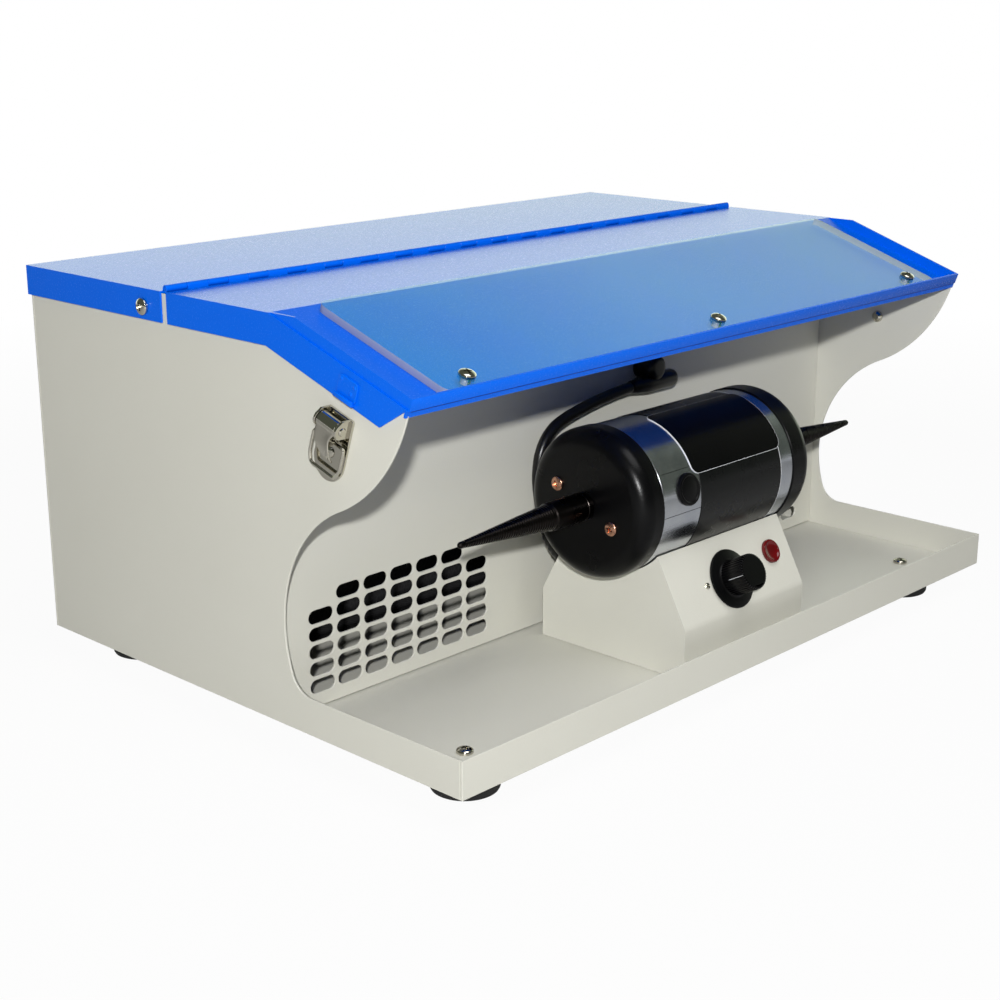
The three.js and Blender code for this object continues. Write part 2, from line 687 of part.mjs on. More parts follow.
function makeRearCover() {
    const front = HINGE_Y + REAR_COVER_FROM_HINGE;
    const bottom = COVER_TOP - FLANGE_DEPTH;
    const top = block(-COVER_HALF, COVER_HALF, front, COVER_BACK, COVER_UNDER, COVER_TOP);
    const back = block(-COVER_HALF, COVER_HALF, COVER_BACK - COVER_SHEET, COVER_BACK, bottom, COVER_TOP);
    const side = rectangle(front, COVER_BACK, bottom, COVER_TOP);
    const holes = [circle(COVER_SCREW, SCREW_RADIUS + SCREW_PLAY)];
    const left = plateAcrossX(side, -COVER_HALF, -COVER_HALF + COVER_SHEET, holes);
    const right = plateAcrossX(side, COVER_HALF - COVER_SHEET, COVER_HALF, holes);
    piece('rear_cover', joined(top, back, left, right), BLUE);

    const shank = COVER_SHEET + COVER_GAP + SHEET;
    const profile = panHeadProfile(shank, SCREW_HEAD_RADIUS, SCREW_HEAD_HEIGHT, SCREW_RADIUS);
    const screw = turnedRoundX(profile, SMALL_STEPS);
    for (const [name, side_, turn] of [['left', -1, Math.PI], ['right', 1, 0]]) {
        const mesh = piece(`${name}_rear_cover_screw`, screw, CHROME);
        mesh.position.set(side_ * (COVER_HALF + SEAM), COVER_SCREW[0], COVER_SCREW[1]);
        mesh.rotation.z = turn;
    }
}

// The flange, the rims and the front lip all start half a sheet down, inside the skin
function frontCoverFlange() {
    const rear = HINGE_Y - FRONT_COVER_FROM_HINGE;
    const depth = FLANGE_DEPTH * Math.tan(SLOPE / 2);
    const root = COVER_SHEET / 2;
    return [
        [rear, COVER_TOP - root], [BREAK_Y + root * Math.tan(SLOPE / 2), COVER_TOP - root],
        onSlope(SLOPE_LENGTH - RIM_SHEET, -root), onSlope(SLOPE_LENGTH - FLANGE_SETBACK, -FLANGE_DEPTH),
        [BREAK_Y + depth, COVER_TOP - FLANGE_DEPTH], [rear, COVER_TOP - FLANGE_DEPTH],
    ];
}

function frontCoverSkin() {
    const rear = HINGE_Y - FRONT_COVER_FROM_HINGE;
    const edge = SLOPE_LENGTH - RIM_SHEET / 2;
    return [
        [rear, COVER_TOP], [BREAK_Y, COVER_TOP], onSlope(edge, 0), onSlope(edge, -COVER_SHEET),
        [BREAK_Y + COVER_SHEET * Math.tan(SLOPE / 2), COVER_UNDER], [rear, COVER_UNDER],
    ];
}

// A strip square to the slanted panel, between two places down the slope
function acrossSlope(from, to, low, high) {
    return [onSlope(from, low), onSlope(from, high), onSlope(to, high), onSlope(to, low)];
}

// The side rims start level with the flat top, so the lid can lie flat on its back
function makeFrontCover() {
    const root = COVER_SHEET / 2;
    const rimOuter = COVER_HALF - RIM_GROOVE;
    const rimSide = [
        [BREAK_Y, COVER_TOP - root], [BREAK_Y, COVER_TOP], onSlope(RIM_HEIGHT / Math.tan(SLOPE), RIM_HEIGHT),
        onSlope(SLOPE_LENGTH - RIM_SHEET / 2, RIM_HEIGHT), onSlope(SLOPE_LENGTH - RIM_SHEET / 2, -root),
    ];
    const rimFront = acrossSlope(SLOPE_LENGTH - RIM_SHEET, SLOPE_LENGTH, -root, RIM_HEIGHT);
    const lipFace = SLOPE_LENGTH - RIM_GROOVE;
    const lip = acrossSlope(lipFace - COVER_SHEET, lipFace, -FRONT_LIP_DEPTH, -root);
    const cover = joined(
        plateAcrossX(frontCoverSkin(), -COVER_HALF, COVER_HALF),
        plateAcrossX(frontCoverFlange(), -COVER_HALF, -COVER_HALF + COVER_SHEET),
        plateAcrossX(frontCoverFlange(), COVER_HALF - COVER_SHEET, COVER_HALF),
        plateAcrossX(lip, -COVER_HALF, COVER_HALF),
        plateAcrossX(rimSide, -rimOuter, -rimOuter + RIM_SHEET),
        plateAcrossX(rimSide, rimOuter - RIM_SHEET, rimOuter),
        plateAcrossX(rimFront, -rimOuter, rimOuter),
    );
    piece('front_cover', cover, BLUE);
}

// Piano hinge: the rear leaf's knuckles hold the pin, and the front leaf's knuckles turn on it.
// Side is 1 for the rear leaf and -1 for the front one. Outlines are in Y and Z, round the hinge's axis

function mirrored(outline, side) {
    return outline.map(([y, z]) => [side * y, z]);
}

function leafOutline(side) {
    const top = LEAF_TOP - HINGE_Z;
    const inner = BARREL_RADIUS - WEB_SHEET;
    const webTop = -BARREL_RADIUS - KNUCKLE_PLAY;
    return mirrored([
        [inner, webTop], [inner, top - LEAF_SHEET], [inner + LEAF_WIDTH, top - LEAF_SHEET],
        [inner + LEAF_WIDTH, top], [BARREL_RADIUS, top], [BARREL_RADIUS, webTop],
    ], side);
}

// A knuckle is rolled from its leaf, so its outline runs down the web it is rolled from
function knuckleOutline(side) {
    const inner = BARREL_RADIUS - WEB_SHEET;
    const foot = LEAF_TOP - HINGE_Z;
    const meets = -Math.acos(inner / BARREL_RADIUS);
    return mirrored([
        [inner, foot], [BARREL_RADIUS, foot],
        ...arc([0, 0], BARREL_RADIUS, 0, 2 * Math.PI + meets, WIRE_STEPS),
    ], side);
}

function makeHinge() {
    const pitch = CABINET_WIDTH / KNUCKLES;
    let rearLeaf = plateAcrossX(leafOutline(1), -INSIDE, INSIDE);
    let frontLeaf = plateAcrossX(leafOutline(-1), -INSIDE, INSIDE);
    for (let i = 0; i < KNUCKLES; i += 1) {
        const from = -HALF_WIDTH + i * pitch + KNUCKLE_PLAY / 2;
        const to = from + pitch - KNUCKLE_PLAY;
        if (i % 2 === 0) {
            rearLeaf = joined(rearLeaf, plateAcrossX(knuckleOutline(1), from, to));
        } else {
            const bore = circle([0, 0], PIN_RADIUS + PIN_PLAY, WIRE_STEPS);
            frontLeaf = joined(frontLeaf, plateAcrossX(knuckleOutline(-1), from, to, [bore]));
        }
    }
    const pinEnd = HALF_WIDTH - KNUCKLE_PLAY;
    const pin = plateAcrossX(circle([0, 0], PIN_RADIUS, WIRE_STEPS), -pinEnd, pinEnd);
    const frame = frameAt(0, HINGE_Y, HINGE_Z);
    piece('hinge_leaf_rear', joined(rearLeaf, pin), BLUE, frame);
    piece('hinge_leaf_front', frontLeaf, BLUE, frame);
}

// Clear screen on the slanted panel, with its three screws. Y runs up the slope here
function makeScreen() {
    const slope = frameAt(0, BREAK_Y, COVER_TOP);
    slope.rotation.x = SLOPE;
    const front = -SLOPE_LENGTH + RIM_SHEET + COVER_GAP;
    const half = HALF_WIDTH - SCREEN_FROM_SIDE;
    const screwY = front + SCREEN_SCREW_FROM_FRONT;
    const screwX = half - SCREEN_SCREW_FROM_SIDE;
    const places = { left: -screwX, middle: 0, right: screwX };
    const holes = Object.values(places).map((x) => circle([x, screwY], SCREW_RADIUS + SCREW_PLAY));
    const sheet = plateAcrossZ(
        rectangle(-half, half, front, -SCREEN_FROM_BREAK), COVER_GAP, COVER_GAP + SCREEN_THICKNESS, holes);
    piece('screen', sheet, CLEAR, slope);
    const profile = panHeadProfile(SCREEN_THICKNESS, SCREW_HEAD_RADIUS, SCREW_HEAD_HEIGHT, SCREW_RADIUS);
    for (const [side, x] of Object.entries(places)) {
        const screw = piece(`${side}_screen_screw`, turned(profile, SMALL_STEPS), CHROME, slope);
        screw.position.set(x, screwY, COVER_GAP + SCREEN_THICKNESS + SEAM);
    }
}

// Latches. In a latch's own frame X points out of the side panel, Z up across the slope, Y along it

function latchBase() {
    const half = LATCH_WIDTH / 2;
    const top = LATCH_TOP;
    const round = arc([0, half - LATCH_BOTTOM], half, Math.PI, 2 * Math.PI, 2 * ARC_STEPS);
    const corner = [[half, top], [LATCH_CORNER - half, top], [-half, top - LATCH_CORNER]];
    const plate = plateAcrossX([...corner, ...round], SEAM, SEAM + LATCH_PLATE);
    const axis = [LATCH_AXIS_OUT, LATCH_AXIS_UP];
    const ear = [
        [SEAM, top], [SEAM, LATCH_AXIS_UP - LATCH_EAR_RADIUS],
        ...arc(axis, LATCH_EAR_RADIUS, -QUARTER_TURN, QUARTER_TURN, ARC_STEPS), [LATCH_AXIS_OUT, top],
    ];
    const span = LATCH_EAR_SPAN / 2;
    const ears = [
        plateAcrossY(ear, span - LATCH_EAR_SHEET, span),
        plateAcrossY(ear, -span, -span + LATCH_EAR_SHEET),
    ];
    const pin = turnedRoundY(rodProfile(-span, span, LATCH_PIN_RADIUS), SMALL_STEPS)
        .translate([LATCH_AXIS_OUT, 0, LATCH_AXIS_UP]);
    const rivet = turnedRoundX([
        [-SHEET - SEAM - RIVET_HEAD_HEIGHT, 0], [-SHEET - SEAM - RIVET_HEAD_HEIGHT, RIVET_HEAD_RADIUS / 2],
        [-SHEET - SEAM, RIVET_HEAD_RADIUS], [-SHEET - SEAM, RIVET_RADIUS], [SEAM + LATCH_PLATE, RIVET_RADIUS],
        [SEAM + LATCH_PLATE, 0],
    ]).translate([0, 0, LATCH_AXIS_UP - RIVET_BELOW_AXIS]);
    return joined(plate, ...ears, pin, rivet);
}

// The lever's frame has its origin on the lever's own pin
function latchLever() {
    const half = LATCH_EAR_SPAN / 2 - LATCH_EAR_SHEET - LATCH_PLAY;
    const roll = turnedRoundY(rodProfile(-half, half, LEVER_ROLL_RADIUS));
    const bore = turnedRoundY(rodProfile(-half - CUT, half + CUT, LATCH_PIN_RADIUS + LATCH_PLAY));
    const out = LEVER_ROLL_RADIUS;
    const tongue = plateAcrossX([[-half, 0], ...LEVER_TONGUE, [half, 0]], out - LEVER_SHEET, out);
    const eye = [BAIL_AXIS_OUT - LATCH_AXIS_OUT, BAIL_AXIS_UP - LATCH_AXIS_UP];
    const eyeRadius = BAIL_WIRE_RADIUS + LATCH_PLAY + LUG_WALL;
    const lugBody = [
        ...arc(eye, eyeRadius, QUARTER_TURN, 3 * QUARTER_TURN, ARC_STEPS),
        [out - LEVER_SHEET / 2, eye[1] - eyeRadius], [out - LEVER_SHEET / 2, eye[1] + eyeRadius],
    ];
    const hole = circle(eye, BAIL_WIRE_RADIUS + LATCH_PLAY, SMALL_STEPS);
    const lug = plateAcrossY(lugBody, -LUG_WIDTH, LUG_WIDTH, [hole]);
    return joined(roll, tongue, lug).subtract(bore);
}

// The bail is a bent wire loop; its frame has its origin on its own straight top bar
function latchBail() {
    const half = BAIL_WIDTH / 2 - BAIL_WIRE_RADIUS;
    const foot = BAIL_FOOT_WIDTH / 2;
    const low = -BAIL_LENGTH + 2 * BAIL_WIRE_RADIUS;
    const bend = half - BAIL_CORNER;
    return wireLoop([
        ...arc([bend, -BAIL_CORNER], BAIL_CORNER, QUARTER_TURN, 0, SLOT_STEPS),
        [half, low + BAIL_SHOULDER], [foot, low], [-foot, low], [-half, low + BAIL_SHOULDER],
        ...arc([-bend, -BAIL_CORNER], BAIL_CORNER, 2 * QUARTER_TURN, QUARTER_TURN, SLOT_STEPS),
    ], BAIL_WIRE_RADIUS);
}

function keeper() {
    const flangeOut = COVER_GAP + COVER_SHEET + SEAM;
    const low = FLANGE_EDGE_UP + KEEPER_ABOVE_EDGE;
    const lip = [
        [flangeOut, low], [flangeOut, low + KEEPER_HEIGHT], [flangeOut + KEEPER_SHEET, low + KEEPER_HEIGHT],
        [flangeOut + KEEPER_SHEET, low + KEEPER_SHEET],
        [flangeOut + KEEPER_HOOK - KEEPER_SHEET, low + KEEPER_SHEET],
        [flangeOut + KEEPER_HOOK - KEEPER_SHEET, low + KEEPER_HOOK],
        [flangeOut + KEEPER_HOOK, low + KEEPER_HOOK], [flangeOut + KEEPER_HOOK, low],
    ];
    return plateAcrossY(lip, -KEEPER_WIDTH / 2, KEEPER_WIDTH / 2);
}

// The flange's lower edge, measured up a latch's own Z axis
const FLANGE_EDGE_UP = (() => {
    const edge = onSlope(0, -FLANGE_DEPTH);
    return (edge[1] - LATCH_CENTRE[1]) * Math.cos(SLOPE) - (edge[0] - LATCH_CENTRE[0]) * Math.sin(SLOPE);
})();

function makeLatches() {
    for (const [side, sign] of [['left', -1], ['right', 1]]) {
        const place = frameAt(sign * HALF_WIDTH, LATCH_CENTRE[0], LATCH_CENTRE[1]);
        place.rotation.x = SLOPE;
        const frame = new THREE.Group();
        frame.rotation.z = sign < 0 ? Math.PI : 0;
        place.add(frame);
        piece(`${side}_latch_base`, latchBase(), CHROME, frame);
        const lever = piece(`${side}_latch_lever`, latchLever(), CHROME, frame);
        lever.position.set(LATCH_AXIS_OUT, 0, LATCH_AXIS_UP);
        const bail = piece(`${side}_latch_bail`, latchBail(), CHROME, frame);
        bail.position.set(BAIL_AXIS_OUT, 0, BAIL_AXIS_UP);
        piece(`${side}_latch_keeper`, keeper(), BLUE, frame).position.y = -sign * KEEPER_FORWARD;
    }
}

// Motor. Its frame has its origin on the shaft, at the middle of the machine

function makeCan(frame) {
    const inner = CAN_RADIUS - CAN_WALL;
    const band = CAN_RADIUS - BAND_STEP;
    const tube = turnedRoundX([
        [-CAN_LEFT, inner], [-CAN_LEFT, band], [-SLEEVE_LEFT, band], [-SLEEVE_LEFT, CAN_RADIUS],
        [SLEEVE_RIGHT, CAN_RADIUS], [SLEEVE_RIGHT, band], [CAN_RIGHT, band], [CAN_RIGHT, inner],
        [-CAN_LEFT, inner],
    ], SMOOTH_STEPS);
    const reach = CAN_RADIUS + CUT;
    const passage = turnedRoundY(rodProfile(-reach, reach, BRUSH_RADIUS + SEAM), FINE_STEPS);
    const holes = passage.rotate([-BRUSH_TILT / DEGREE, 0, 0]).translate([-BRUSH_AT, 0, 0]);
    piece('motor_can', tube.subtract(holes), POLISHED, frame);
}

// One end cap, drawn for the right side: a cup with a boss that seats the bearing
function capProfile(rimAt, end) {
    const bore = SHAFT_RADIUS + 2 * SHAFT_PLAY;
    const seat = BEARING_RADIUS + SEAM;
    const boss = BEARING_RADIUS + BEARING_BOSS_WALL;
    const skin = end - CAP_WALL;
    const seatEnd = skin - SEAM;
    return [
        [end, bore], [end, CAP_RADIUS - CAP_ROUND],
        ...arc([end - CAP_ROUND, CAP_RADIUS - CAP_ROUND], CAP_ROUND, 0, QUARTER_TURN, ARC_STEPS).slice(1),
        [rimAt, CAP_RADIUS], [rimAt, CAP_RADIUS - CAP_WALL],
        [skin - CAP_ROUND / 2, CAP_RADIUS - CAP_WALL], [skin, CAP_RADIUS - CAP_ROUND],
        [skin, boss], [seatEnd - BEARING_WIDTH - SEAM, boss], [seatEnd - BEARING_WIDTH - SEAM, seat],
        [seatEnd, seat], [seatEnd, bore], [end, bore],
    ];
}

function makeCaps(frame) {
    const spread = [CAP_SCREW_CIRCLE * Math.cos(CAP_SCREW_TILT), CAP_SCREW_CIRCLE * Math.sin(CAP_SCREW_TILT)];
    const shank = CAP_WALL + SCREW_HEAD_HEIGHT;
    const screw = turnedRoundX(
        panHeadProfile(shank, CAP_SCREW_HEAD_RADIUS, CAP_SCREW_HEAD_HEIGHT, CAP_SCREW_RADIUS), SMALL_STEPS);
    const ends = [['left', -1, CAN_LEFT, CAP_LEFT], ['right', 1, CAN_RIGHT, CAP_RIGHT]];
    for (const [side, sign, edge, end] of ends) {
        const place = new THREE.Group();
        place.rotation.z = sign < 0 ? Math.PI : 0;
        frame.add(place);
        let cap = turnedRoundX(capProfile(edge + SEAM, end), SMOOTH_STEPS);
        for (const [where, way] of [['front', -1], ['rear', 1]]) {
            const at = [0, way * sign * spread[0], way * spread[1]];
            const hole = turnedRoundX(
                rodProfile(end - CAP_WALL - CUT, end + CUT, CAP_SCREW_RADIUS + SEAM), SMALL_STEPS);
            cap = cap.subtract(hole.translate(at));
            const mesh = piece(`${side}_cap_${where}_screw`, screw, COPPER, place);
            mesh.position.set(end + SEAM, at[1], at[2]);
        }
        piece(`${side}_motor_cap`, cap, BLACK, place);
        const seatEnd = end - CAP_WALL - 2 * SEAM;
        const ring = ringProfile(
            seatEnd - BEARING_WIDTH, seatEnd, SHAFT_RADIUS + SHAFT_PLAY, BEARING_RADIUS);
        piece(`${side}_bearing`, turnedRoundX(ring, ROUND_STEPS), STEEL, place);
    }
}

// A brush holder is pressed into the can; its slotted cap shows outside
function makeBrushHolders(frame) {
    const reach = CAN_RADIUS - BAND_STEP + BRUSH_PROUD;
    const holder = turnedRoundY([
        [COMMUTATOR_RADIUS + ROTOR_GAP, 0], [COMMUTATOR_RADIUS + ROTOR_GAP, BRUSH_RADIUS / 2],
        [CAN_RADIUS - 2 * CAN_WALL, BRUSH_RADIUS / 2], [CAN_RADIUS - 2 * CAN_WALL, BRUSH_RADIUS],
        [reach - BRUSH_BEVEL, BRUSH_RADIUS], [reach, BRUSH_RADIUS - BRUSH_BEVEL], [reach, 0],
    ], FINE_STEPS);
    const slot = block(
        -BRUSH_RADIUS + BRUSH_BEVEL * 3, BRUSH_RADIUS - BRUSH_BEVEL * 3, reach - BRUSH_SLOT / 2, reach + CUT,
        -BRUSH_SLOT / 2, BRUSH_SLOT / 2);
    const shape = holder.subtract(slot);
    for (const [name, turn] of [['front', Math.PI - BRUSH_TILT], ['rear', -BRUSH_TILT]]) {
        const mesh = piece(`${name}_brush_holder`, shape, BLACK, frame);
        mesh.position.x = -BRUSH_AT;
        mesh.rotation.x = turn;
    }
}

function makeRotor(frame) {
    const half = ARMATURE_LENGTH / 2;
    const commutator = [-BRUSH_AT - COMMUTATOR_LENGTH / 2, -BRUSH_AT + COMMUTATOR_LENGTH / 2];
    piece('armature_shaft', turnedRoundX([
        [-SHAFT_REACH, 0], [-SHAFT_REACH, SHAFT_RADIUS], [commutator[0], SHAFT_RADIUS],
        [commutator[0], COMMUTATOR_RADIUS], [commutator[1], COMMUTATOR_RADIUS], [commutator[1], SHAFT_RADIUS],
        [-half, SHAFT_RADIUS], [-half, ARMATURE_RADIUS], [half, ARMATURE_RADIUS], [half, SHAFT_RADIUS],
        [SHAFT_REACH, SHAFT_RADIUS], [SHAFT_REACH, 0],
    ], ROUND_STEPS), STEEL, frame);
    const ring = ringProfile(
        -STATOR_LENGTH / 2, STATOR_LENGTH / 2, ARMATURE_RADIUS + ROTOR_GAP, CAN_RADIUS - CAN_WALL - SEAM);
    piece('stator', turnedRoundX(ring, SMOOTH_STEPS), STEEL, frame);
}

// A tapered spindle slides on the shaft's end and is held by its collar
function makeTapers(frame) {
    const bore = SHAFT_RADIUS + SEAM;
    for (const [side, turn, end] of [['left', Math.PI, CAP_LEFT], ['right', 0, CAP_RIGHT]]) {
        const from = end + COLLAR_GAP;
        const taper = turnedRoundX([
            [from, bore], [from, COLLAR_RADIUS], [COLLAR_END, COLLAR_RADIUS], [COLLAR_END, TAPER_RADIUS],
            [TAPER_TIP - TAPER_TIP_RADIUS, TAPER_TIP_RADIUS], [TAPER_TIP, 0],
            [SHAFT_REACH + SEAM, 0], [SHAFT_REACH + SEAM, bore], [from, bore],
        ], ROUND_STEPS);
        piece(`${side}_taper`, taper, DARK_STEEL, frame).rotation.z = turn;
    }
}

function makeMotor() {
    const frame = frameAt(0, MOTOR_Y, MOTOR_Z);
    makeCan(frame);
    makeCaps(frame);
    makeBrushHolders(frame);
    makeRotor(frame);
    makeTapers(frame);
}

// Motor base. Its frame has its origin on the tray floor, under the shaft

const BASE_SLANT = Math.atan2(BASE_TOP_HEIGHT - BASE_WALL_HEIGHT, BASE_HALF_DEPTH - BASE_TOP_HALF_DEPTH);

function baseProfile(inset, drop) {
    const turn = QUARTER_TURN - BASE_SLANT;
    const shoulder = BASE_WALL_HEIGHT - inset * Math.tan(turn / 2);
    const rise = BASE_TOP_HEIGHT + CUT - shoulder;
    const depth = BASE_HALF_DEPTH - inset;
    const top = depth - rise / Math.tan(BASE_SLANT);
    const bend = BASE_BEND - inset;
    const rear = arc([depth - bend, shoulder - bend * Math.tan(turn / 2)], bend, 0, turn, SLOT_STEPS);
    return [
        [-depth, drop], [depth, drop], ...rear, [top, shoulder + rise], [-top, shoulder + rise],
        ...mirrored(rear, -1).reverse(),
    ];
}

function makeMotorBase() {
    const frame = frameAt(0, MOTOR_Y, FLOOR + SEAM);
    const outside = plateAcrossX(baseProfile(0, 0), -BASE_HALF_WIDTH, BASE_HALF_WIDTH);
    const inside = plateAcrossX(
        baseProfile(BASE_SHEET, -CUT), -BASE_HALF_WIDTH + BASE_SHEET, BASE_HALF_WIDTH - BASE_SHEET);
    const cradle = turnedRoundX(
        rodProfile(-BASE_HALF_WIDTH - CUT, BASE_HALF_WIDTH + CUT, CAN_RADIUS + CRADLE_GAP), SMOOTH_STEPS)
        .translate([0, 0, MOTOR_Z - FLOOR - SEAM]);
    const crown = block(
        -BASE_HALF_WIDTH - CUT, BASE_HALF_WIDTH + CUT, -BASE_HALF_DEPTH, BASE_HALF_DEPTH,
        BASE_TOP_HEIGHT, BASE_TOP_HEIGHT + 2 * CUT);
    const capRoom = turnedRoundX(rodProfile(0, CAP_RIGHT, CAP_RADIUS + CRADLE_GAP), SMOOTH_STEPS)
        .translate([CAN_RIGHT - CRADLE_GAP, 0, MOTOR_Z - FLOOR - SEAM]);
    let shell = outside.subtract(inside).subtract(cradle).subtract(crown).subtract(capRoom);
    const holes = [
        [-KNOB_LEFT, KNOB_UP, CONTROL_BUSH_RADIUS + SEAM], [LAMP_RIGHT, LAMP_UP, LAMP_NECK_RADIUS + SEAM],
    ];
    for (const [x, up, radius] of holes) {
        const drill = onSlant(x, up, turned(rodProfile(-CUT, CUT, radius)));
        shell = shell.subtract(drill);
    }
    const leadHole = turned(rodProfile(-CUT, CUT, LEAD_HOLE_RADIUS));
    piece('motor_base', shell.subtract(onRearSlant(leadHole)), PAINT, frame);
    makeControls();
}

// Turns a shape that stands on Z = 0 on to the slanted front wall, within the base's frame
function onSlant(x, up, shape) {
    const lean = BASE_SLANT / DEGREE;
    const foot = [-BASE_HALF_DEPTH + up * Math.cos(BASE_SLANT), BASE_WALL_HEIGHT + up * Math.sin(BASE_SLANT)];
    return shape.rotate([lean, 0, 0]).translate([x, foot[0], foot[1]]);
}

// The lead leaves the slanted rear wall square to it
function onRearSlant(shape) {
    const lean = BASE_SLANT / DEGREE;
    const along = LEAD_HOLE_UP * Math.cos(BASE_SLANT);
    const up = LEAD_HOLE_UP * Math.sin(BASE_SLANT);
    return shape.rotate([-lean, 0, 0])
        .translate([LEAD_ROUTE[0][0], BASE_HALF_DEPTH - along, BASE_WALL_HEIGHT + up]);
}

// In this frame X runs along the slanted wall, Y up it and Z out of it
function slantFrame(x, up) {
    const frame = frameAt(
        x, MOTOR_Y - BASE_HALF_DEPTH + up * Math.cos(BASE_SLANT),
        FLOOR + SEAM + BASE_WALL_HEIGHT + up * Math.sin(BASE_SLANT));
    frame.rotation.x = BASE_SLANT;
    return frame;
}

function knobShape() {
    const skirtTop = KNOB_FLOAT + KNOB_SKIRT_HEIGHT;
    const skirt = turned([
        [KNOB_FLOAT, 0], [KNOB_FLOAT, KNOB_SKIRT_RADIUS],
        [KNOB_FLOAT + KNOB_SKIRT_HEIGHT / 2, KNOB_SKIRT_RADIUS],
        [skirtTop, KNOB_GRIP_RADIUS + KNOB_FLUTE_DEPTH], [skirtTop, 0],
    ], ROUND_STEPS);
    const rim = [];
    for (let i = 0; i < 2 * KNOB_FLUTES; i += 1) {
        const radius = i % 2 === 0 ? KNOB_GRIP_RADIUS : KNOB_GRIP_RADIUS - KNOB_FLUTE_DEPTH;
        const angle = (Math.PI * i) / KNOB_FLUTES;
        rim.push([radius * Math.cos(angle), radius * Math.sin(angle)]);
    }
    const grip = plateAcrossZ(rim, skirtTop - KNOB_SKIRT_HEIGHT / 2, KNOB_HEIGHT);
    const shaftEnd = -BASE_SHEET - CONTROL_DEPTH / 2;
    const shaft = turned(rodProfile(shaftEnd, skirtTop, KNOB_SHAFT_RADIUS), SMALL_STEPS);
    return joined(skirt, grip, shaft);
}

function makeControls() {
    const dial = slantFrame(-KNOB_LEFT, KNOB_UP);
    piece('speed_knob', knobShape(), BLACK, dial);
    const bore = KNOB_SHAFT_RADIUS + SHAFT_PLAY;
    const floor = -BASE_SHEET - CONTROL_DEPTH / 2 - SHAFT_PLAY;
    const top = -BASE_SHEET - SEAM;
    piece('speed_control', turned([
        [-BASE_SHEET - CONTROL_DEPTH, 0], [-BASE_SHEET - CONTROL_DEPTH, CONTROL_RADIUS],
        [top, CONTROL_RADIUS], [top, CONTROL_BUSH_RADIUS], [0, CONTROL_BUSH_RADIUS], [0, bore],
        [floor, bore], [floor, 0],
    ]), STEEL, dial);
    const lamp = slantFrame(LAMP_RIGHT, LAMP_UP);
    piece('pilot_lamp', turned([
        [-LAMP_DEPTH, 0], [-LAMP_DEPTH, LAMP_NECK_RADIUS], [SEAM, LAMP_NECK_RADIUS], [SEAM, LAMP_RADIUS],
        [LAMP_PROUD / 2, LAMP_RADIUS], [LAMP_PROUD, LAMP_RADIUS / 2], [LAMP_PROUD, 0],
    ]), RED, lamp);
}

// Motor lead, and its gland on the intake panel

function makeLead() {
    const points = LEAD_ROUTE.map(([x, behind, up]) => new THREE.Vector3(x, FRONT + behind, FLOOR + up));
    const curve = new THREE.CatmullRomCurve3(points, false, 'centripetal');
    const section = pathOf(circle([0, 0], LEAD_RADIUS, LEAD_SIDES), THREE.Shape);
    const lead = new THREE.ExtrudeGeometry(
        section, { steps: LEAD_STEPS, extrudePath: curve, bevelEnabled: false });
    piece('motor_lead', solid(lead), RUBBER);
}

function makeGland() {
    const reach = INTAKE_Y - GLAND_REACH;
    const neckEnd = INTAKE_Y + SHEET + GLAND_BEHIND_PANEL;
    const boss = turnedRoundY([
        [reach, 0], [reach, GLAND_RADIUS - GLAND_BEVEL], [reach + GLAND_BEVEL, GLAND_RADIUS],
        [INTAKE_Y - SEAM, GLAND_RADIUS], [INTAKE_Y - SEAM, GLAND_NECK_RADIUS], [neckEnd, GLAND_NECK_RADIUS],
        [neckEnd, 0],
    ]).translate([GLAND_X, 0, GLAND_Z]);
    const [leadEnd, behind, up] = LEAD_ROUTE.at(-1);
    const start = leadEnd + GLAND_TAIL_GAP;
    const round = [GLAND_TAIL_END - GLAND_TAIL_ROUND, GLAND_TAIL_RADIUS - GLAND_TAIL_ROUND];
    const tail = turnedRoundX([
        [start, 0], [start, LEAD_RADIUS + SEAM], [start + GLAND_TAIL_TAPER, GLAND_TAIL_RADIUS],
        ...arc(round, GLAND_TAIL_ROUND, QUARTER_TURN, 0, SLOT_STEPS), [GLAND_TAIL_END, 0],
    ]).translate([0, FRONT + behind, FLOOR + up]);
    piece('lead_gland', joined(boss, tail), RUBBER);
}

// Extractor fan, bolted to the rear panel. Its frame has its origin on the fan's axis, at the panel

function fanFrameShape() {
    const half = FAN_SIZE / 2;
    const outline = [
        ...arc([half - FAN_CORNER, half - FAN_CORNER], FAN_CORNER, 0, QUARTER_TURN, ARC_STEPS),
        ...arc([-half + FAN_CORNER, half - FAN_CORNER], FAN_CORNER, QUARTER_TURN, Math.PI, ARC_STEPS),
        ...arc([-half + FAN_CORNER, -half + FAN_CORNER], FAN_CORNER, Math.PI, 3 * QUARTER_TURN, ARC_STEPS),
        ...arc([half - FAN_CORNER, -half + FAN_CORNER], FAN_CORNER, -QUARTER_TURN, 0, ARC_STEPS),
    ];
    const body = plateAcrossY(outline, -FAN_DEPTH, 0, [circle([0, 0], FAN_BORE, ROUND_STEPS)]);
    const motor = turnedRoundY(rodProfile(-FAN_MOTOR_DEPTH, 0, FAN_HUB_RADIUS), FINE_STEPS);
    const struts = [];
    for (let i = 0; i < FAN_STRUTS; i += 1) {
        const strut = block(
            0, FAN_BORE + FAN_CORNER / 2, -FAN_MOTOR_DEPTH, 0, -FAN_STRUT_WIDTH / 2, FAN_STRUT_WIDTH / 2);
        struts.push(strut.rotate([0, 45 + (360 * i) / FAN_STRUTS, 0]));
    }
    const pin = turnedRoundY(rodProfile(-FAN_DEPTH + FAN_PLAY, 0, FAN_PIN_RADIUS), SMALL_STEPS);
    return joined(body, motor, ...struts, pin);
}

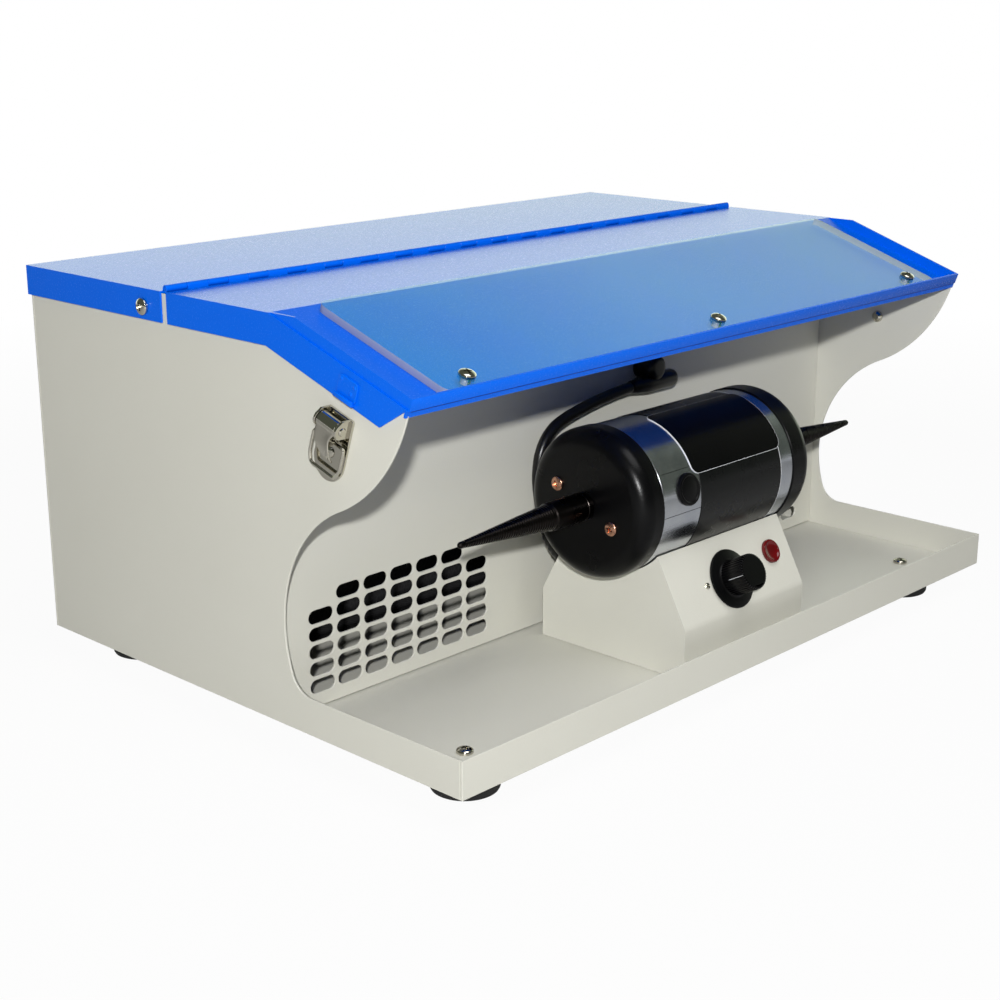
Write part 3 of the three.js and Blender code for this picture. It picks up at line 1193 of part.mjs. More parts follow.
function fanWheelShape() {
    const from = -FAN_DEPTH + 2 * FAN_PLAY;
    const to = -FAN_MOTOR_DEPTH - FAN_PLAY;
    const hub = turnedRoundY(rodProfile(from, to, FAN_HUB_RADIUS), FINE_STEPS);
    const reach = FAN_BORE - FAN_TIP_GAP;
    const chord = Math.min(FAN_BLADE_CHORD, (to - from - FAN_BLADE_SHEET) / Math.sin(FAN_BLADE_PITCH));
    const blades = [];
    for (let i = 0; i < FAN_BLADES; i += 1) {
        const blade = block(
            FAN_HUB_RADIUS / 2, reach, -FAN_BLADE_SHEET / 2, FAN_BLADE_SHEET / 2, -chord / 2, chord / 2);
        const pitched = blade.rotate([FAN_BLADE_PITCH / DEGREE - 90, 0, 0]);
        blades.push(pitched.translate([0, (from + to) / 2, 0]).rotate([0, (360 * i) / FAN_BLADES, 0]));
    }
    const bore = turnedRoundY(
        rodProfile(-FAN_DEPTH - CUT, 0, FAN_PIN_RADIUS + FAN_PLAY), SMALL_STEPS);
    const sweep = turnedRoundY(rodProfile(from, to, reach), ROUND_STEPS);
    return joined(hub, ...blades).intersect(sweep).subtract(bore);
}

function makeFan() {
    const frame = frameAt(0, REAR_INNER - SEAM, FAN_Z);
    piece('fan_frame', fanFrameShape(), BLACK, frame);
    piece('fan_wheel', fanWheelShape(), BLACK, frame);
}

// Power inlet and switch. The frame has its origin on the rear panel's outer face

function makePowerInlet() {
    const frame = frameAt(INLET_X, REAR_FACE, INLET_Z);
    const half = [INLET_WIDTH / 2, INLET_HEIGHT / 2];
    const flange = block(-half[0], half[0], 0, INLET_FLANGE, -half[1], half[1]);
    const body = block(
        -half[0] + INLET_BORDER, half[0] - INLET_BORDER, -INLET_BODY_DEPTH, INLET_FLANGE,
        -half[1] + INLET_BORDER, half[1] - INLET_BORDER);
    const socketLow = -SOCKET_FROM_CENTRE - SOCKET_HEIGHT / 2;
    const socket = block(
        -SOCKET_WIDTH / 2, SOCKET_WIDTH / 2, INLET_FLANGE - SOCKET_DEPTH, INLET_FLANGE + CUT,
        socketLow, socketLow + SOCKET_HEIGHT);
    const switchLow = SWITCH_FROM_CENTRE - SWITCH_HEIGHT / 2;
    const bay = block(
        -SWITCH_WIDTH / 2, SWITCH_WIDTH / 2, INLET_FLANGE - SWITCH_DEPTH, INLET_FLANGE + CUT,
        switchLow, switchLow + SWITCH_HEIGHT);
    const blades = [-1, 0, 1].map((i) => block(
        i * BLADE_PITCH - BLADE_WIDTH / 2, i * BLADE_PITCH + BLADE_WIDTH / 2, -SOCKET_DEPTH, -BLADE_WIDTH,
        -SOCKET_FROM_CENTRE - BLADE_HEIGHT / 2, -SOCKET_FROM_CENTRE + BLADE_HEIGHT / 2));
    const rim = flange.translate([0, SEAM, 0]);
    piece('power_inlet', joined(joined(rim, body).subtract(socket).subtract(bay), ...blades), BLACK, frame);

    const rocker = piece('switch_rocker', rockerShape(), RED, frame);
    rocker.position.set(0, INLET_FLANGE - ROCKER_AXIS_DEPTH, SWITCH_FROM_CENTRE);
    rocker.rotation.x = -ROCKER_TILT;
}

// The rocker's frame has its origin on its own pivot. Its outer face is a shallow V, level when half pressed
function rockerShape() {
    const half = SWITCH_HEIGHT / 2 - ROCKER_END_GAP;
    const end = (ROCKER_AXIS_DEPTH + ROCKER_PROUD - half * Math.sin(ROCKER_TILT)) / Math.cos(ROCKER_TILT);
    const waist = half / 3;
    return plateAcrossX([
        [-waist, -waist], [end, -half], [end - half * Math.tan(ROCKER_TILT), 0], [end, half], [-waist, waist],
    ], -SWITCH_WIDTH / 2 + ROCKER_PLAY, SWITCH_WIDTH / 2 - ROCKER_PLAY);
}

makeTray();
makeSidePanels();
makeRearPanel();
makeFeet();
makeIntakePanel();
makePartition();
makeRearCover();
makeFrontCover();
makeHinge();
makeScreen();
makeLatches();
makeMotor();
makeMotorBase();
makeLead();
makeGland();
makeFan();
makePowerInlet();

export default machine;
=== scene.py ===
import math
from itertools import accumulate

import bmesh
import bpy
from mathutils import Matrix, Vector


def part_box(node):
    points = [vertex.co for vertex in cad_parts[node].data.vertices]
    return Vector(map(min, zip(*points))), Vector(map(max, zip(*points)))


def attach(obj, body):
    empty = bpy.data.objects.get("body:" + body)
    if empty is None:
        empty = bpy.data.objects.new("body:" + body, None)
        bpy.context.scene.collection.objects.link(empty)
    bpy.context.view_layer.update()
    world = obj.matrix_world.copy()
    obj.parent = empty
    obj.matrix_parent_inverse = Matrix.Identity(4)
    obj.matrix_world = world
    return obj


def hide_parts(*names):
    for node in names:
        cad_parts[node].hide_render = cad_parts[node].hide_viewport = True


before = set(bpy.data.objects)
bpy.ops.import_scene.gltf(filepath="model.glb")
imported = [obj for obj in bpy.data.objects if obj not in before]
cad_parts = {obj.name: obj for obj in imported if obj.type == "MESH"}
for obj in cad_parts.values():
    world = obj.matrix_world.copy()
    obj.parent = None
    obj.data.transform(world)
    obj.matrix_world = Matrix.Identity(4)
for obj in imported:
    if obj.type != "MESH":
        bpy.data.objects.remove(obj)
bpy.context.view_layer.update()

# Camera
# It stands in front of the left corner, a little above the covers, and looks slightly down.

CAMERA_PLACE = (-0.7179, -0.6509, 0.3602)
CAMERA_AZIMUTH = -46.471
CAMERA_ELEVATION = 16.554
LENS = 63.03
SENSOR = 36


def added(name, data):
    """A new object in the scene."""
    made = bpy.data.objects.new(name, data)
    bpy.context.scene.collection.objects.link(made)
    return made


def way_to(azimuth, elevation):
    """The direction from the machine to a camera or lamp, from angles in degrees."""
    turn, lift = math.radians(azimuth), math.radians(elevation)
    level = math.cos(lift)
    return Vector((math.sin(turn) * level, -math.cos(turn) * level, math.sin(lift)))


def aim(thing, way):
    """Turns a camera or lamp to look back along the direction to it."""
    thing.rotation_mode = "QUATERNION"
    thing.rotation_quaternion = (-way).to_track_quat("-Z", "Y")


camera = added("camera", bpy.data.cameras.new("camera"))
camera.location = CAMERA_PLACE
aim(camera, way_to(CAMERA_AZIMUTH, CAMERA_ELEVATION))
camera.data.lens = LENS
camera.data.sensor_width = SENSOR
bpy.context.scene.camera = camera
bpy.context.scene.view_settings.view_transform = "Standard"

# Studio floor, sky and lamps
# A pale table in a white room: the camera sees white, and the floor keeps the soft shadow under the
# machine. Glossy surfaces see a dark room with one bright sweep behind the machine.


class Wire:
    """A socket in a finish. Sums and products of wires add their Math nodes."""

    def __init__(self, tree, socket=None):
        self.tree = tree
        self.socket = socket

    def node(self, kind, settings=None, inputs=None, out=0):
        made = self.tree.nodes.new("ShaderNode" + kind)
        for key, value in (settings or {}).items():
            if key == "stops":
                ramp = made.color_ramp.elements
                while len(ramp) < len(value):
                    ramp.new(0.5)
                for stop, (position, share) in zip(ramp, value):
                    stop.position, stop.color = position, (share, share, share, 1)
            else:
                setattr(made, key, value)
        for key, value in (inputs or {}).items():
            self.feed(made.inputs[key], value)
        return Wire(self.tree, made.outputs[out])

    def feed(self, socket, value):
        if isinstance(value, Wire):
            self.tree.links.new(value.socket, socket)
        else:
            socket.default_value = value

    def maths(self, operation, a, b):
        return self.node("Math", {"operation": operation}, {0: a, 1: b})

    def __add__(self, other):
        return self.maths("ADD", self, other)

    def __sub__(self, other):
        return self.maths("SUBTRACT", self, other)

    def __rsub__(self, other):
        return self.maths("SUBTRACT", other, self)

    def __mul__(self, other):
        return self.maths("MULTIPLY", self, other)

    def clamped(self):
        return self.node("Clamp", None, {0: self})

    def blend(self, first, second):
        """The first colour where this wire is 0, and the second where it is 1."""
        return self.node("Mix", {"data_type": "RGBA"}, {0: self, 6: first, 7: second}, out=2)


def finish(name, base, roughness, **sockets):
    """A Principled finish. It gives the material, its shader node and a wire to add nodes with."""
    material = bpy.data.materials.new(name)
    material.use_nodes = True
    shader = material.node_tree.nodes["Principled BSDF"]
    shader.inputs["Base Color"].default_value = base
    shader.inputs["Roughness"].default_value = roughness
    for socket, value in sockets.items():
        shader.inputs[socket.replace("_", " ")].default_value = value
    return material, shader, Wire(material.node_tree)


def across(wire, stretch=(1, 1, 1)):
    """The place on the object, in metres, stretched along its axes."""
    place = wire.node("TexCoord", out="Object")
    return wire.node("Mapping", None, {"Vector": place, "Scale": stretch})


def mix_shaders(wire, factor, first, second):
    """The first shader where the factor is 0, and the second where it is 1."""
    return wire.node("MixShader", None, {0: factor, 1: first, 2: second})


def show(wire, mixed):
    """Makes mixed shaders the surface of a finish."""
    wire.feed(wire.tree.nodes["Material Output"].inputs["Surface"], mixed)


def ray_kinds(wire):
    """Wires that are 1 for camera rays, for glossy rays and for transmission rays."""
    rays = wire.node("LightPath").socket.node
    kinds = ("Is Camera Ray", "Is Glossy Ray", "Is Transmission Ray")
    return [Wire(wire.tree, rays.outputs[kind]) for kind in kinds]


WHITE = (1, 1, 1, 1)
FLOOR_REACH = 6.0
FLOOR_FADE_FROM, FLOOR_FADE_TO = 0.55, 1.1
FLOOR_NEAR_WHITE = 0.95
FLOOR_PALE = (0.62, 0.62, 0.61, 1)
MIRROR_FROM, MIRROR_RISE = 1.6, 0.7

floor_mesh = bpy.data.meshes.new("table_top")
corners = [(x * FLOOR_REACH, y * FLOOR_REACH, 0) for x, y in ((-1, -1), (1, -1), (1, 1), (-1, 1))]
floor_mesh.from_pydata(corners, [], [(0, 1, 2, 3)])
floor = added("table_top", floor_mesh)
pale_table, shader, wire = finish("pale_table", FLOOR_PALE, 0.9)
floor_mesh.materials.append(pale_table)
camera_ray, glossy_ray, through_ray = ray_kinds(wire)
far = wire.node("VectorMath", {"operation": "LENGTH"}, {0: across(wire)}, out="Value")
fade = ((far - FLOOR_FADE_FROM) * (1 / (FLOOR_FADE_TO - FLOOR_FADE_FROM))).clamped()
near = camera_ray * (fade * (1 - FLOOR_NEAR_WHITE) + FLOOR_NEAR_WHITE)
mirrored = ((far - MIRROR_FROM) * MIRROR_RISE).clamped() * glossy_ray
whitened = (near + mirrored + fade * through_ray).clamped()
white = wire.node("Emission", None, {"Color": WHITE, "Strength": 1.0})
show(wire, mix_shaders(wire, whitened, Wire(wire.tree, shader.outputs[0]), white))

SKY_LIGHT = 0.055
ROOM_LIGHT = 0.1
SWEEP_LIGHT = 1.85
SWEEP_WAY = (0.725, 0.689)
SWEEP_FROM, SWEEP_WIDTH = 0.35, 0.3
SWEEP_STOPS = ((0.22, 1), (0.37, 0.4), (0.51, 0.36), (0.62, 0))
SWEEP_TINT = (0.98, 1.09, 0.88, 1)

world = bpy.data.worlds.new("white_room")
world.use_nodes = True
bpy.context.scene.world = world
sky = Wire(world.node_tree)
camera_ray, glossy_ray, through_ray = ray_kinds(sky)
ways = sky.node("SeparateXYZ", None, {0: sky.node("TexCoord", out="Generated")}).socket.node
way_x, way_y, way_z = (Wire(sky.tree, ways.outputs[k]) for k in range(3))
along_sweep = way_x * SWEEP_WAY[0] + way_y * SWEEP_WAY[1]
behind = ((along_sweep - SWEEP_FROM) * (1 / SWEEP_WIDTH)).clamped()
below_top = sky.node("ValToRGB", {"stops": SWEEP_STOPS}, {0: way_z})
mirrored_light = behind * below_top * (SWEEP_LIGHT - ROOM_LIGHT) + ROOM_LIGHT
seen = (camera_ray + through_ray).clamped()
strength = seen * (1 - SKY_LIGHT) + glossy_ray * (mirrored_light - SKY_LIGHT) + SKY_LIGHT
background = world.node_tree.nodes["Background"]
sky.feed(background.inputs["Strength"], strength)
sky.feed(background.inputs["Color"], glossy_ray.blend(WHITE, SWEEP_TINT))

LAMP_AIM = Vector((0, 0, 0.1))


def lamp(name, azimuth, elevation, distance, size, power):
    """A square soft box that faces the middle of the machine."""
    light = bpy.data.lights.new(name, "AREA")
    light.shape = "SQUARE"
    light.size, light.energy = size, power
    way = way_to(azimuth, elevation)
    made = added(name, light)
    made.location = way * distance + LAMP_AIM
    aim(made, way)


lamp("key_soft_box", azimuth=-47.5, elevation=20, distance=1.75, size=0.05, power=25.4)
lamp("top_soft_box", azimuth=-10, elevation=65, distance=1.6, size=1.0, power=11)

# Grey powder coat on the cabinet
# Sheet steel, sprayed with a fine-texture warm grey powder and baked: an even colour with a slight
# orange-peel grain that softens every reflection.


def colour(red, green, blue):
    """A colour as it looks on screen, from 0 to 255, as the linear light Blender works in."""
    def linear(value):
        share = value / 255
        return share / 12.92 if share <= 0.04045 else ((share + 0.055) / 1.055) ** 2.4
    return (linear(red), linear(green), linear(blue), 1.0)


def noise(wire, scale, detail=2.0, rough=0.5, stretch=(1, 1, 1)):
    """Noise on the object, with its scale in cycles a metre."""
    return wire.node("TexNoise", None, {
        "Vector": across(wire, stretch), "Scale": scale, "Detail": detail, "Roughness": rough})


def bump(wire, shader, height, distance):
    normal = wire.node("Bump", None, {"Height": height, "Distance": distance, "Strength": 1.0})
    wire.feed(shader.inputs["Normal"], normal)


GREY = colour(208, 207, 197)
GREY_SHADE = colour(202, 201, 190)
GRAIN, GRAIN_DEPTH = 900.0, 0.00006
GRAIN_SPREAD = 0.12
CLOUDS = 9.0


def powder_coat(name, base, shade, roughness, grain, depth, **sockets):
    """Two close shades in wide clouds, and a fine grain in the roughness and the surface."""
    material, shader, wire = finish(name, base, roughness, **sockets)
    wire.feed(shader.inputs["Base Color"], noise(wire, CLOUDS, 3.0).blend(base, shade))
    fine = noise(wire, grain, 2.0, 0.6)
    wire.feed(shader.inputs["Roughness"], fine * GRAIN_SPREAD + (roughness - GRAIN_SPREAD / 2))
    bump(wire, shader, fine, depth)
    return material


grey_coat = powder_coat("grey_powder_coat", GREY, GREY_SHADE, 0.5, GRAIN, GRAIN_DEPTH)

# Tray
# One sheet with a front lip folded up; the side panels close its ends and carry the side lips on.

MM = 0.001
WELD = 0.00001


def eased(piece, width, rounds):
    """Rounds the sharp edges of a piece, by a width in millimetres."""
    ease = piece.modifiers.new("eased_edges", "BEVEL")
    ease.width = width * MM
    ease.segments = rounds
    ease.limit_method = "ANGLE"
    ease.angle_limit = math.radians(40)


def dressed(node, material, edge):
    """A solid that stays as it is: it gets its finish, and its sharp edges are eased."""
    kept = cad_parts[node]
    for slot in kept.material_slots:
        slot.link = "OBJECT"
        slot.material = material
    if edge:
        weld = kept.modifiers.new("weld", "WELD")
        weld.merge_threshold = WELD
        flat = kept.modifiers.new("flat", "DECIMATE")
        flat.decimate_type = "DISSOLVE"
        flat.angle_limit = math.radians(0.5)
        eased(kept, edge, 2)


dressed("base_tray", grey_coat, 0.5)

# Side panels
# Flat sheets with an S-shaped front edge: a nose under the lid, a wide round bay beside the motor
# and a small fillet down into the tray's side lip.

SIDES = (("left", -1), ("right", 1))
ALONG_X = ((0, 1, 0), (0, 0, 1), (1, 0, 0))
HALF_WIDTH = 225.0
SHEET = 1.2
GAP = 0.2
FOOT_HEIGHT = 16.0
FRONT_EDGE = -160.0 + SHEET + GAP
REAR_EDGE = 155.8
BREAK_Y = -40.0
COVER_TOP = 217.0
COVER_GAP = 1.3
PANEL_TOP = COVER_TOP - COVER_GAP
SLOPE = math.radians(18.57)
NOSE = (-47.3, 209.6)
BAY, BAY_RADIUS = (-112.4, 67.9), 70.3
LIP_TOP, LIP_FILLET = 34.9, 14.0
COVER_SCREW = (55.3, 208.0)
SCREW_HOLE = 2.3


def built(name, mesh, material, body, at=None, *nodes):
    """A new piece on the CAD body it rides on, which stands for the nodes that are named."""
    made = added(name, mesh)
    if at is not None:
        made.matrix_world = at
    mesh.materials.append(material)
    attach(made, body)
    if nodes:
        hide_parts(*nodes)
    return made


def smooth(mesh, angle):
    mesh.shade_smooth()
    mesh.set_sharp_from_angle(angle=math.radians(angle))
    return mesh


def filled(mesh, shape):
    """The mesh with a worked shape in it."""
    shape.to_mesh(mesh)
    shape.free()
    return mesh


def poly_curve(name, dimensions, lines, closed=True):
    """A curve of straight steps along lines of points in metres."""
    curve = bpy.data.curves.new(name, "CURVE")
    curve.dimensions = dimensions
    for points in lines:
        spline = curve.splines.new("POLY")
        spline.points.add(len(points) - 1)
        for point, place in zip(spline.points, points):
            point.co = (*place, 1)
        spline.use_cyclic_u = closed
    return curve


def curve_mesh(curve):
    holder = bpy.data.objects.new(curve.name, curve)
    mesh = bpy.data.meshes.new_from_object(holder)
    mesh.name = holder.name
    bpy.data.objects.remove(holder)
    return mesh


def arc(centre, radius, start, end, steps):
    """Points of an arc, from and to angles in degrees."""
    points = []
    for i in range(steps + 1):
        angle = math.radians(start + (end - start) * i / steps)
        points.append((centre[0] + radius * math.cos(angle), centre[1] + radius * math.sin(angle)))
    return points


def circle(centre, radius):
    return arc(centre, radius, 0, 360, 32)[:-1]


def blank(name, outline, holes, thickness, edge):
    """A cut sheet with eased edges, in millimetres, lying on z = 0 and rising by its thickness."""
    lines = [[(u * MM, v * MM, 0) for u, v in points] for points in (outline, *holes)]
    curve = poly_curve(name, "2D", lines)
    curve.fill_mode = "BOTH"
    curve.extrude = (thickness / 2 - edge) * MM
    curve.bevel_depth = edge * MM
    curve.bevel_resolution = 1
    curve.offset = -edge * MM
    mesh = curve_mesh(curve)
    shape = bmesh.new()
    shape.from_mesh(mesh)
    bmesh.ops.remove_doubles(shape, verts=shape.verts, dist=WELD / 5)
    bmesh.ops.recalc_face_normals(shape, faces=shape.faces)
    bmesh.ops.translate(shape, verts=shape.verts, vec=(0, 0, thickness / 2 * MM))
    smooth(filled(mesh, shape), 30)
    # Where a flat side meets its eased edge, the shading breaks, so that the flat side looks flat.
    sides = {}
    for face in mesh.polygons:
        for key in face.edge_keys:
            sides.setdefault(key, set()).add(abs(face.normal.z) > 0.999)
    for border in mesh.edges:
        if len(sides[border.key]) > 1:
            border.use_edge_sharp = True
    return mesh


def turn_to(x_axis, y_axis, z_axis, origin=(0, 0, 0)):
    """The matrix that takes a piece drawn flat to its place; the origin is in millimetres."""
    matrix = Matrix((x_axis, y_axis, z_axis)).transposed().to_4x4()
    matrix.translation = Vector(origin) * MM
    return matrix


def side_outline():
    span = math.hypot(NOSE[0] - BAY[0], NOSE[1] - BAY[1])
    nose_radius = span - BAY_RADIUS
    to_bay = math.degrees(math.atan2(BAY[1] - NOSE[1], BAY[0] - NOSE[0]))
    bend = (BREAK_Y + COVER_GAP * math.tan(SLOPE / 2), PANEL_TOP)
    below = (bend[0] - NOSE[0]) * math.sin(SLOPE) - (bend[1] - NOSE[1]) * math.cos(SLOPE)
    nose_start = 180 + math.degrees(SLOPE - math.asin(-below / nose_radius))
    fillet_z = LIP_TOP + LIP_FILLET
    inward = math.sqrt((BAY_RADIUS - LIP_FILLET) ** 2 - (fillet_z - BAY[1]) ** 2)
    fillet = (BAY[0] + inward, fillet_z)
    to_fillet = math.degrees(math.atan2(fillet[1] - BAY[1], fillet[0] - BAY[0]))
    return [
        (REAR_EDGE, FOOT_HEIGHT), (REAR_EDGE, PANEL_TOP), bend,
        *arc(NOSE, nose_radius, nose_start, 360 + to_bay, 48),
        *arc(BAY, BAY_RADIUS, to_bay + 180, to_fillet, 64)[1:],
        *arc(fillet, LIP_FILLET, to_fillet, -90, 16)[1:],
        (FRONT_EDGE, LIP_TOP), (FRONT_EDGE, FOOT_HEIGHT),
    ]


for side, sign in SIDES:
    name = side + "_side"
    mesh = blank(name, side_outline(), [circle(COVER_SCREW, SCREW_HOLE)], SHEET, 0.3)
    at = turn_to(*ALONG_X, (-HALF_WIDTH if sign < 0 else HALF_WIDTH - SHEET, 0, 0))
    built(name, mesh, grey_coat, "cabinet", at, name + "_panel")

# Intake panel
# The wall behind the motor, with two punched grilles of obround slots; each grille's top row lacks
# its two end slots.

UPRIGHT = ((1, 0, 0), (0, 0, 1), (0, -1, 0))
FLOOR = FOOT_HEIGHT + SHEET
INSIDE = HALF_WIDTH - SHEET - GAP
INTAKE_Y = -38.0
INTAKE_LOW = 17.8
INTAKE_SLOT = (15.8, 7.0)
SLOT_ACROSS, SLOT_UP = 18, 9
SLOT_INSET, SLOT_LOW = 25.1, 11.2
GLAND_PLACE, GLAND_HOLE = (43.0, 150.0), 5.7


def obround(centre, length, height):
    end = height / 2
    reach = length / 2 - end
    return (arc((centre[0] + reach, centre[1]), end, -90, 90, 10)
            + arc((centre[0] - reach, centre[1]), end, 90, 270, 10))


def rectangle(low, high):
    return [low, (high[0], low[1]), high, (low[0], high[1])]


slots = []
for side in (-1, 1):
    for column in range(7):
        for row in range(5 if column in (0, 6) else 6):
            u = side * (HALF_WIDTH - SHEET - SLOT_INSET - SLOT_ACROSS * column)
            slots.append(obround((u, FLOOR + SLOT_LOW + SLOT_UP * row), *INTAKE_SLOT))
outline = rectangle((-INSIDE, INTAKE_LOW), (INSIDE, PANEL_TOP))
mesh = blank("intake", outline, [circle(GLAND_PLACE, GLAND_HOLE), *slots], SHEET, 0.35)
at = turn_to(*UPRIGHT, (0, INTAKE_Y + SHEET, 0))
built("intake", mesh, grey_coat, "cabinet", at, "intake_panel")

# Rear panel
# Flat sheet with a round field of exhaust slots in front of the fan and a cut-out for the inlet.

REAR_Y = 157.2
FAN_Z = 115.2
EXHAUST_SLOT, EXHAUST_REACH = (14, 6.5), 57
INLET_LOW, INLET_HIGH = (136.3, 34.5), (163.7, 91.9)

slots = [
    obround((SLOT_ACROSS * column, FAN_Z + SLOT_UP * row), *EXHAUST_SLOT)
    for column in range(-2, 3) for row in range(-3, 4)
    if SLOT_ACROSS * abs(column) + SLOT_UP * abs(row) <= EXHAUST_REACH]
outline = rectangle((-HALF_WIDTH, FOOT_HEIGHT), (HALF_WIDTH, PANEL_TOP))
mesh = blank("rear", outline, [rectangle(INLET_LOW, INLET_HIGH), *slots], SHEET, 0.2)
built("rear", mesh, grey_coat, "cabinet", turn_to(*UPRIGHT, (0, REAR_Y, 0)), "rear_panel")

# Covers
# Folded sheet in a bright blue gloss powder coat. Its smooth grain catches the bright sweep, so the
# flat tops look pale from a low place while the flanges stay deep blue. The lid has a raised rim
# and a lip set back under it; the dark blue strip between them is painted shadow, standing for the
# shade that the rim casts on the lip.

BLUE = colour(0, 102, 230)
BLUE_DEEP = colour(0, 96, 223)
BLUE_GRAIN, BLUE_DEPTH, BLUE_IOR = 1100.0, 0.00004, 1.26
RIM_SHADOW_LOW, RIM_SHADOW_HIGH = (-223.6, -95.02, -1.5), (223.6, -94.7, -0.55)


def brick(name, low, high):
    shape = bmesh.new()
    bmesh.ops.create_cube(shape, size=1)
    for vertex in shape.verts:
        for k in range(3):
            vertex.co[k] = (low[k] if vertex.co[k] < 0 else high[k]) * MM
    return filled(bpy.data.meshes.new(name), shape)


blue_coat = powder_coat(
    "blue_powder_coat", BLUE, BLUE_DEEP, 0.26, BLUE_GRAIN, BLUE_DEPTH, IOR=BLUE_IOR)
# A darker blue for the painted shadow line under the lid's rim.
rim_shadow_blue = powder_coat(
    "rim_shadow_blue", colour(0, 48, 160), colour(0, 40, 146), 0.4, BLUE_GRAIN, BLUE_DEPTH, IOR=BLUE_IOR)
dressed("rear_cover", blue_coat, 0.6)
dressed("front_cover", blue_coat, 0.45)

on_cover = Vector((0, BREAK_Y, COVER_TOP))
slope_out = Vector((0, -math.sin(SLOPE), math.cos(SLOPE)))
slope_up = Vector((0, math.cos(SLOPE), math.sin(SLOPE)))
at = turn_to((1, 0, 0), slope_up, slope_out, on_cover)
# Painted shadow: a thin dark blue strip under the rim, where the rim shades the set-back lip.
built("rim_shadow_strip", brick("rim_shadow_strip", RIM_SHADOW_LOW, RIM_SHADOW_HIGH), rim_shadow_blue, "lid", at)

# Piano hinge
# Rolled knuckles on a steel pin, each rolled from its own leaf and painted over with the covers.
# The leaves are bolted under the covers' edges.

HERE = Matrix()
HINGE = (39.0, 218.25)
KNUCKLES = 36
KNUCKLE_PITCH = 2 * HALF_WIDTH / KNUCKLES
KNUCKLE_GAP = 0.15
BARREL = 1.75
LEAF_TOP, LEAF_WIDTH = -2.45, 15.75
WEB_FROM = 0.85


def skin(shape, rings):
    """Faces between each ring of points and the next; a ring may be a single point."""
    steps = max(len(ring) for ring in rings)
    for low, high in zip(rings, rings[1:]):
        for i in range(steps):
            j = (i + 1) % steps
            corners = (low[i % len(low)], low[j % len(low)], high[j % len(high)],
                       high[i % len(high)])
            corners = list(dict.fromkeys(corners))
            if len(corners) > 2:
                shape.faces.new(corners)


def turned(name, profile, steps):
    """A turned piece round Z from points of (height, radius), in millimetres."""
    shape = bmesh.new()
    rings = []
    for height, radius in profile:
        angles = [2 * math.pi * i / steps for i in range(steps if radius > 0 else 1)]
        rings.append([
            shape.verts.new((radius * math.cos(a) * MM, radius * math.sin(a) * MM, height * MM))
            for a in angles])
    skin(shape, rings)
    bmesh.ops.remove_doubles(shape, verts=shape.verts, dist=WELD / 20)
    bmesh.ops.recalc_face_normals(shape, faces=shape.faces)
    return smooth(filled(bpy.data.meshes.new(name), shape), 35)


def merged(name, *parts):
    """One mesh from several, each with the place that it is put at."""
    shape = bmesh.new()
    for part, at in parts:
        start = len(shape.verts)
        shape.from_mesh(part)
        shape.verts.ensure_lookup_table()
        bmesh.ops.transform(shape, matrix=at, verts=shape.verts[start:])
    return filled(bpy.data.meshes.new(name), shape)


def shifted(x, y, z):
    """The matrix that moves a piece, in millimetres."""
    return Matrix.Translation((x * MM, y * MM, z * MM))


length = KNUCKLE_PITCH - KNUCKLE_GAP
knuckle = turned("knuckle", [
    (KNUCKLE_GAP, 0.95), (KNUCKLE_GAP, 1.55), (0.35, BARREL), (length - 0.2, BARREL),
    (length, 1.55), (length, 0.95), (KNUCKLE_GAP, 0.95)], 28)
pin = turned("pin", [
    (-224.7, 0), (-224.7, 0.6), (-224.5, 0.8), (224.5, 0.8), (224.7, 0.6), (224.7, 0)], 16)
for side, place, body in ((1, "rear", "cabinet"), (-1, "front", "lid")):
    web, leaf = (sorted((side * WEB_FROM, side * reach)) for reach in (BARREL, LEAF_WIDTH))
    parts = [
        (brick("leaf", (-INSIDE, leaf[0], LEAF_TOP - 1), (INSIDE, leaf[1], LEAF_TOP)), HERE),
        (brick("web", (-INSIDE, web[0], LEAF_TOP), (INSIDE, web[1], -2.05)), HERE)]
    for i in range(0 if side == 1 else 1, KNUCKLES, 2):
        start = -HALF_WIDTH + i * KNUCKLE_PITCH
        stem = brick("stem", (start + KNUCKLE_GAP, web[0], -2.3), (start + length, web[1], -0.2))
        parts += [(knuckle, turn_to(*ALONG_X, (start, 0, 0))), (stem, HERE)]
    if side == 1:
        parts.append((pin, turn_to(*ALONG_X)))
    name = "piano_hinge_" + place
    built(name, merged(name, *parts), blue_coat, body, shifted(0, *HINGE), "hinge_leaf_" + place)

# Clear screen
# A strip of clear acrylic with sawn, frosted ends and rounded corners, held off the slanted part of
# the lid by three screws.

SCREEN_HALF = 202.0
SCREEN_FROM, SCREEN_TO = 4.5, 94.3
SCREEN_THICKNESS = 3.8
SCREEN_LIFT = 0.3
SCREEN_SCREW_X, SCREEN_SCREW_UP = 183.0, -85.8
ACRYLIC_IOR = 1.49


def rounded(points, radius):
    """The same outline with its corners rounded off."""
    made = []
    for i, corner in enumerate(points):
        here, before = Vector(corner), Vector(points[i - 1])
        after = Vector(points[(i + 1) % len(points)])
        reach = min(radius, (before - here).length / 2.01, (after - here).length / 2.01)
        start = here + (before - here).normalized() * reach
        end = here + (after - here).normalized() * reach
        for k in range(7):
            t = k / 6
            made.append(tuple(start * (1 - t) ** 2 + here * (2 * t * (1 - t)) + end * t ** 2))
    return made


clear_acrylic, shader, wire = finish("clear_acrylic", (0.12, 1, 0.6, 1), 0.3, IOR=1.3)
through = wire.node("BsdfTransparent", None, {0: (0.99, 0.995, 1, 1)})
smears = noise(wire, 9.0, 3.0, 0.6)
hazy = mix_shaders(wire, smears * 0.08 + 0.03, through, Wire(wire.tree, shader.outputs[0]))
gloss = wire.node("BsdfAnisotropic", None, {"Color": WHITE, "Roughness": 0.04})
outside = 1 - wire.node("NewGeometry", out="Backfacing")
glancing = wire.node("Fresnel", None, {"IOR": ACRYLIC_IOR}) * outside
show(wire, mix_shaders(wire, glancing, hazy, gloss))

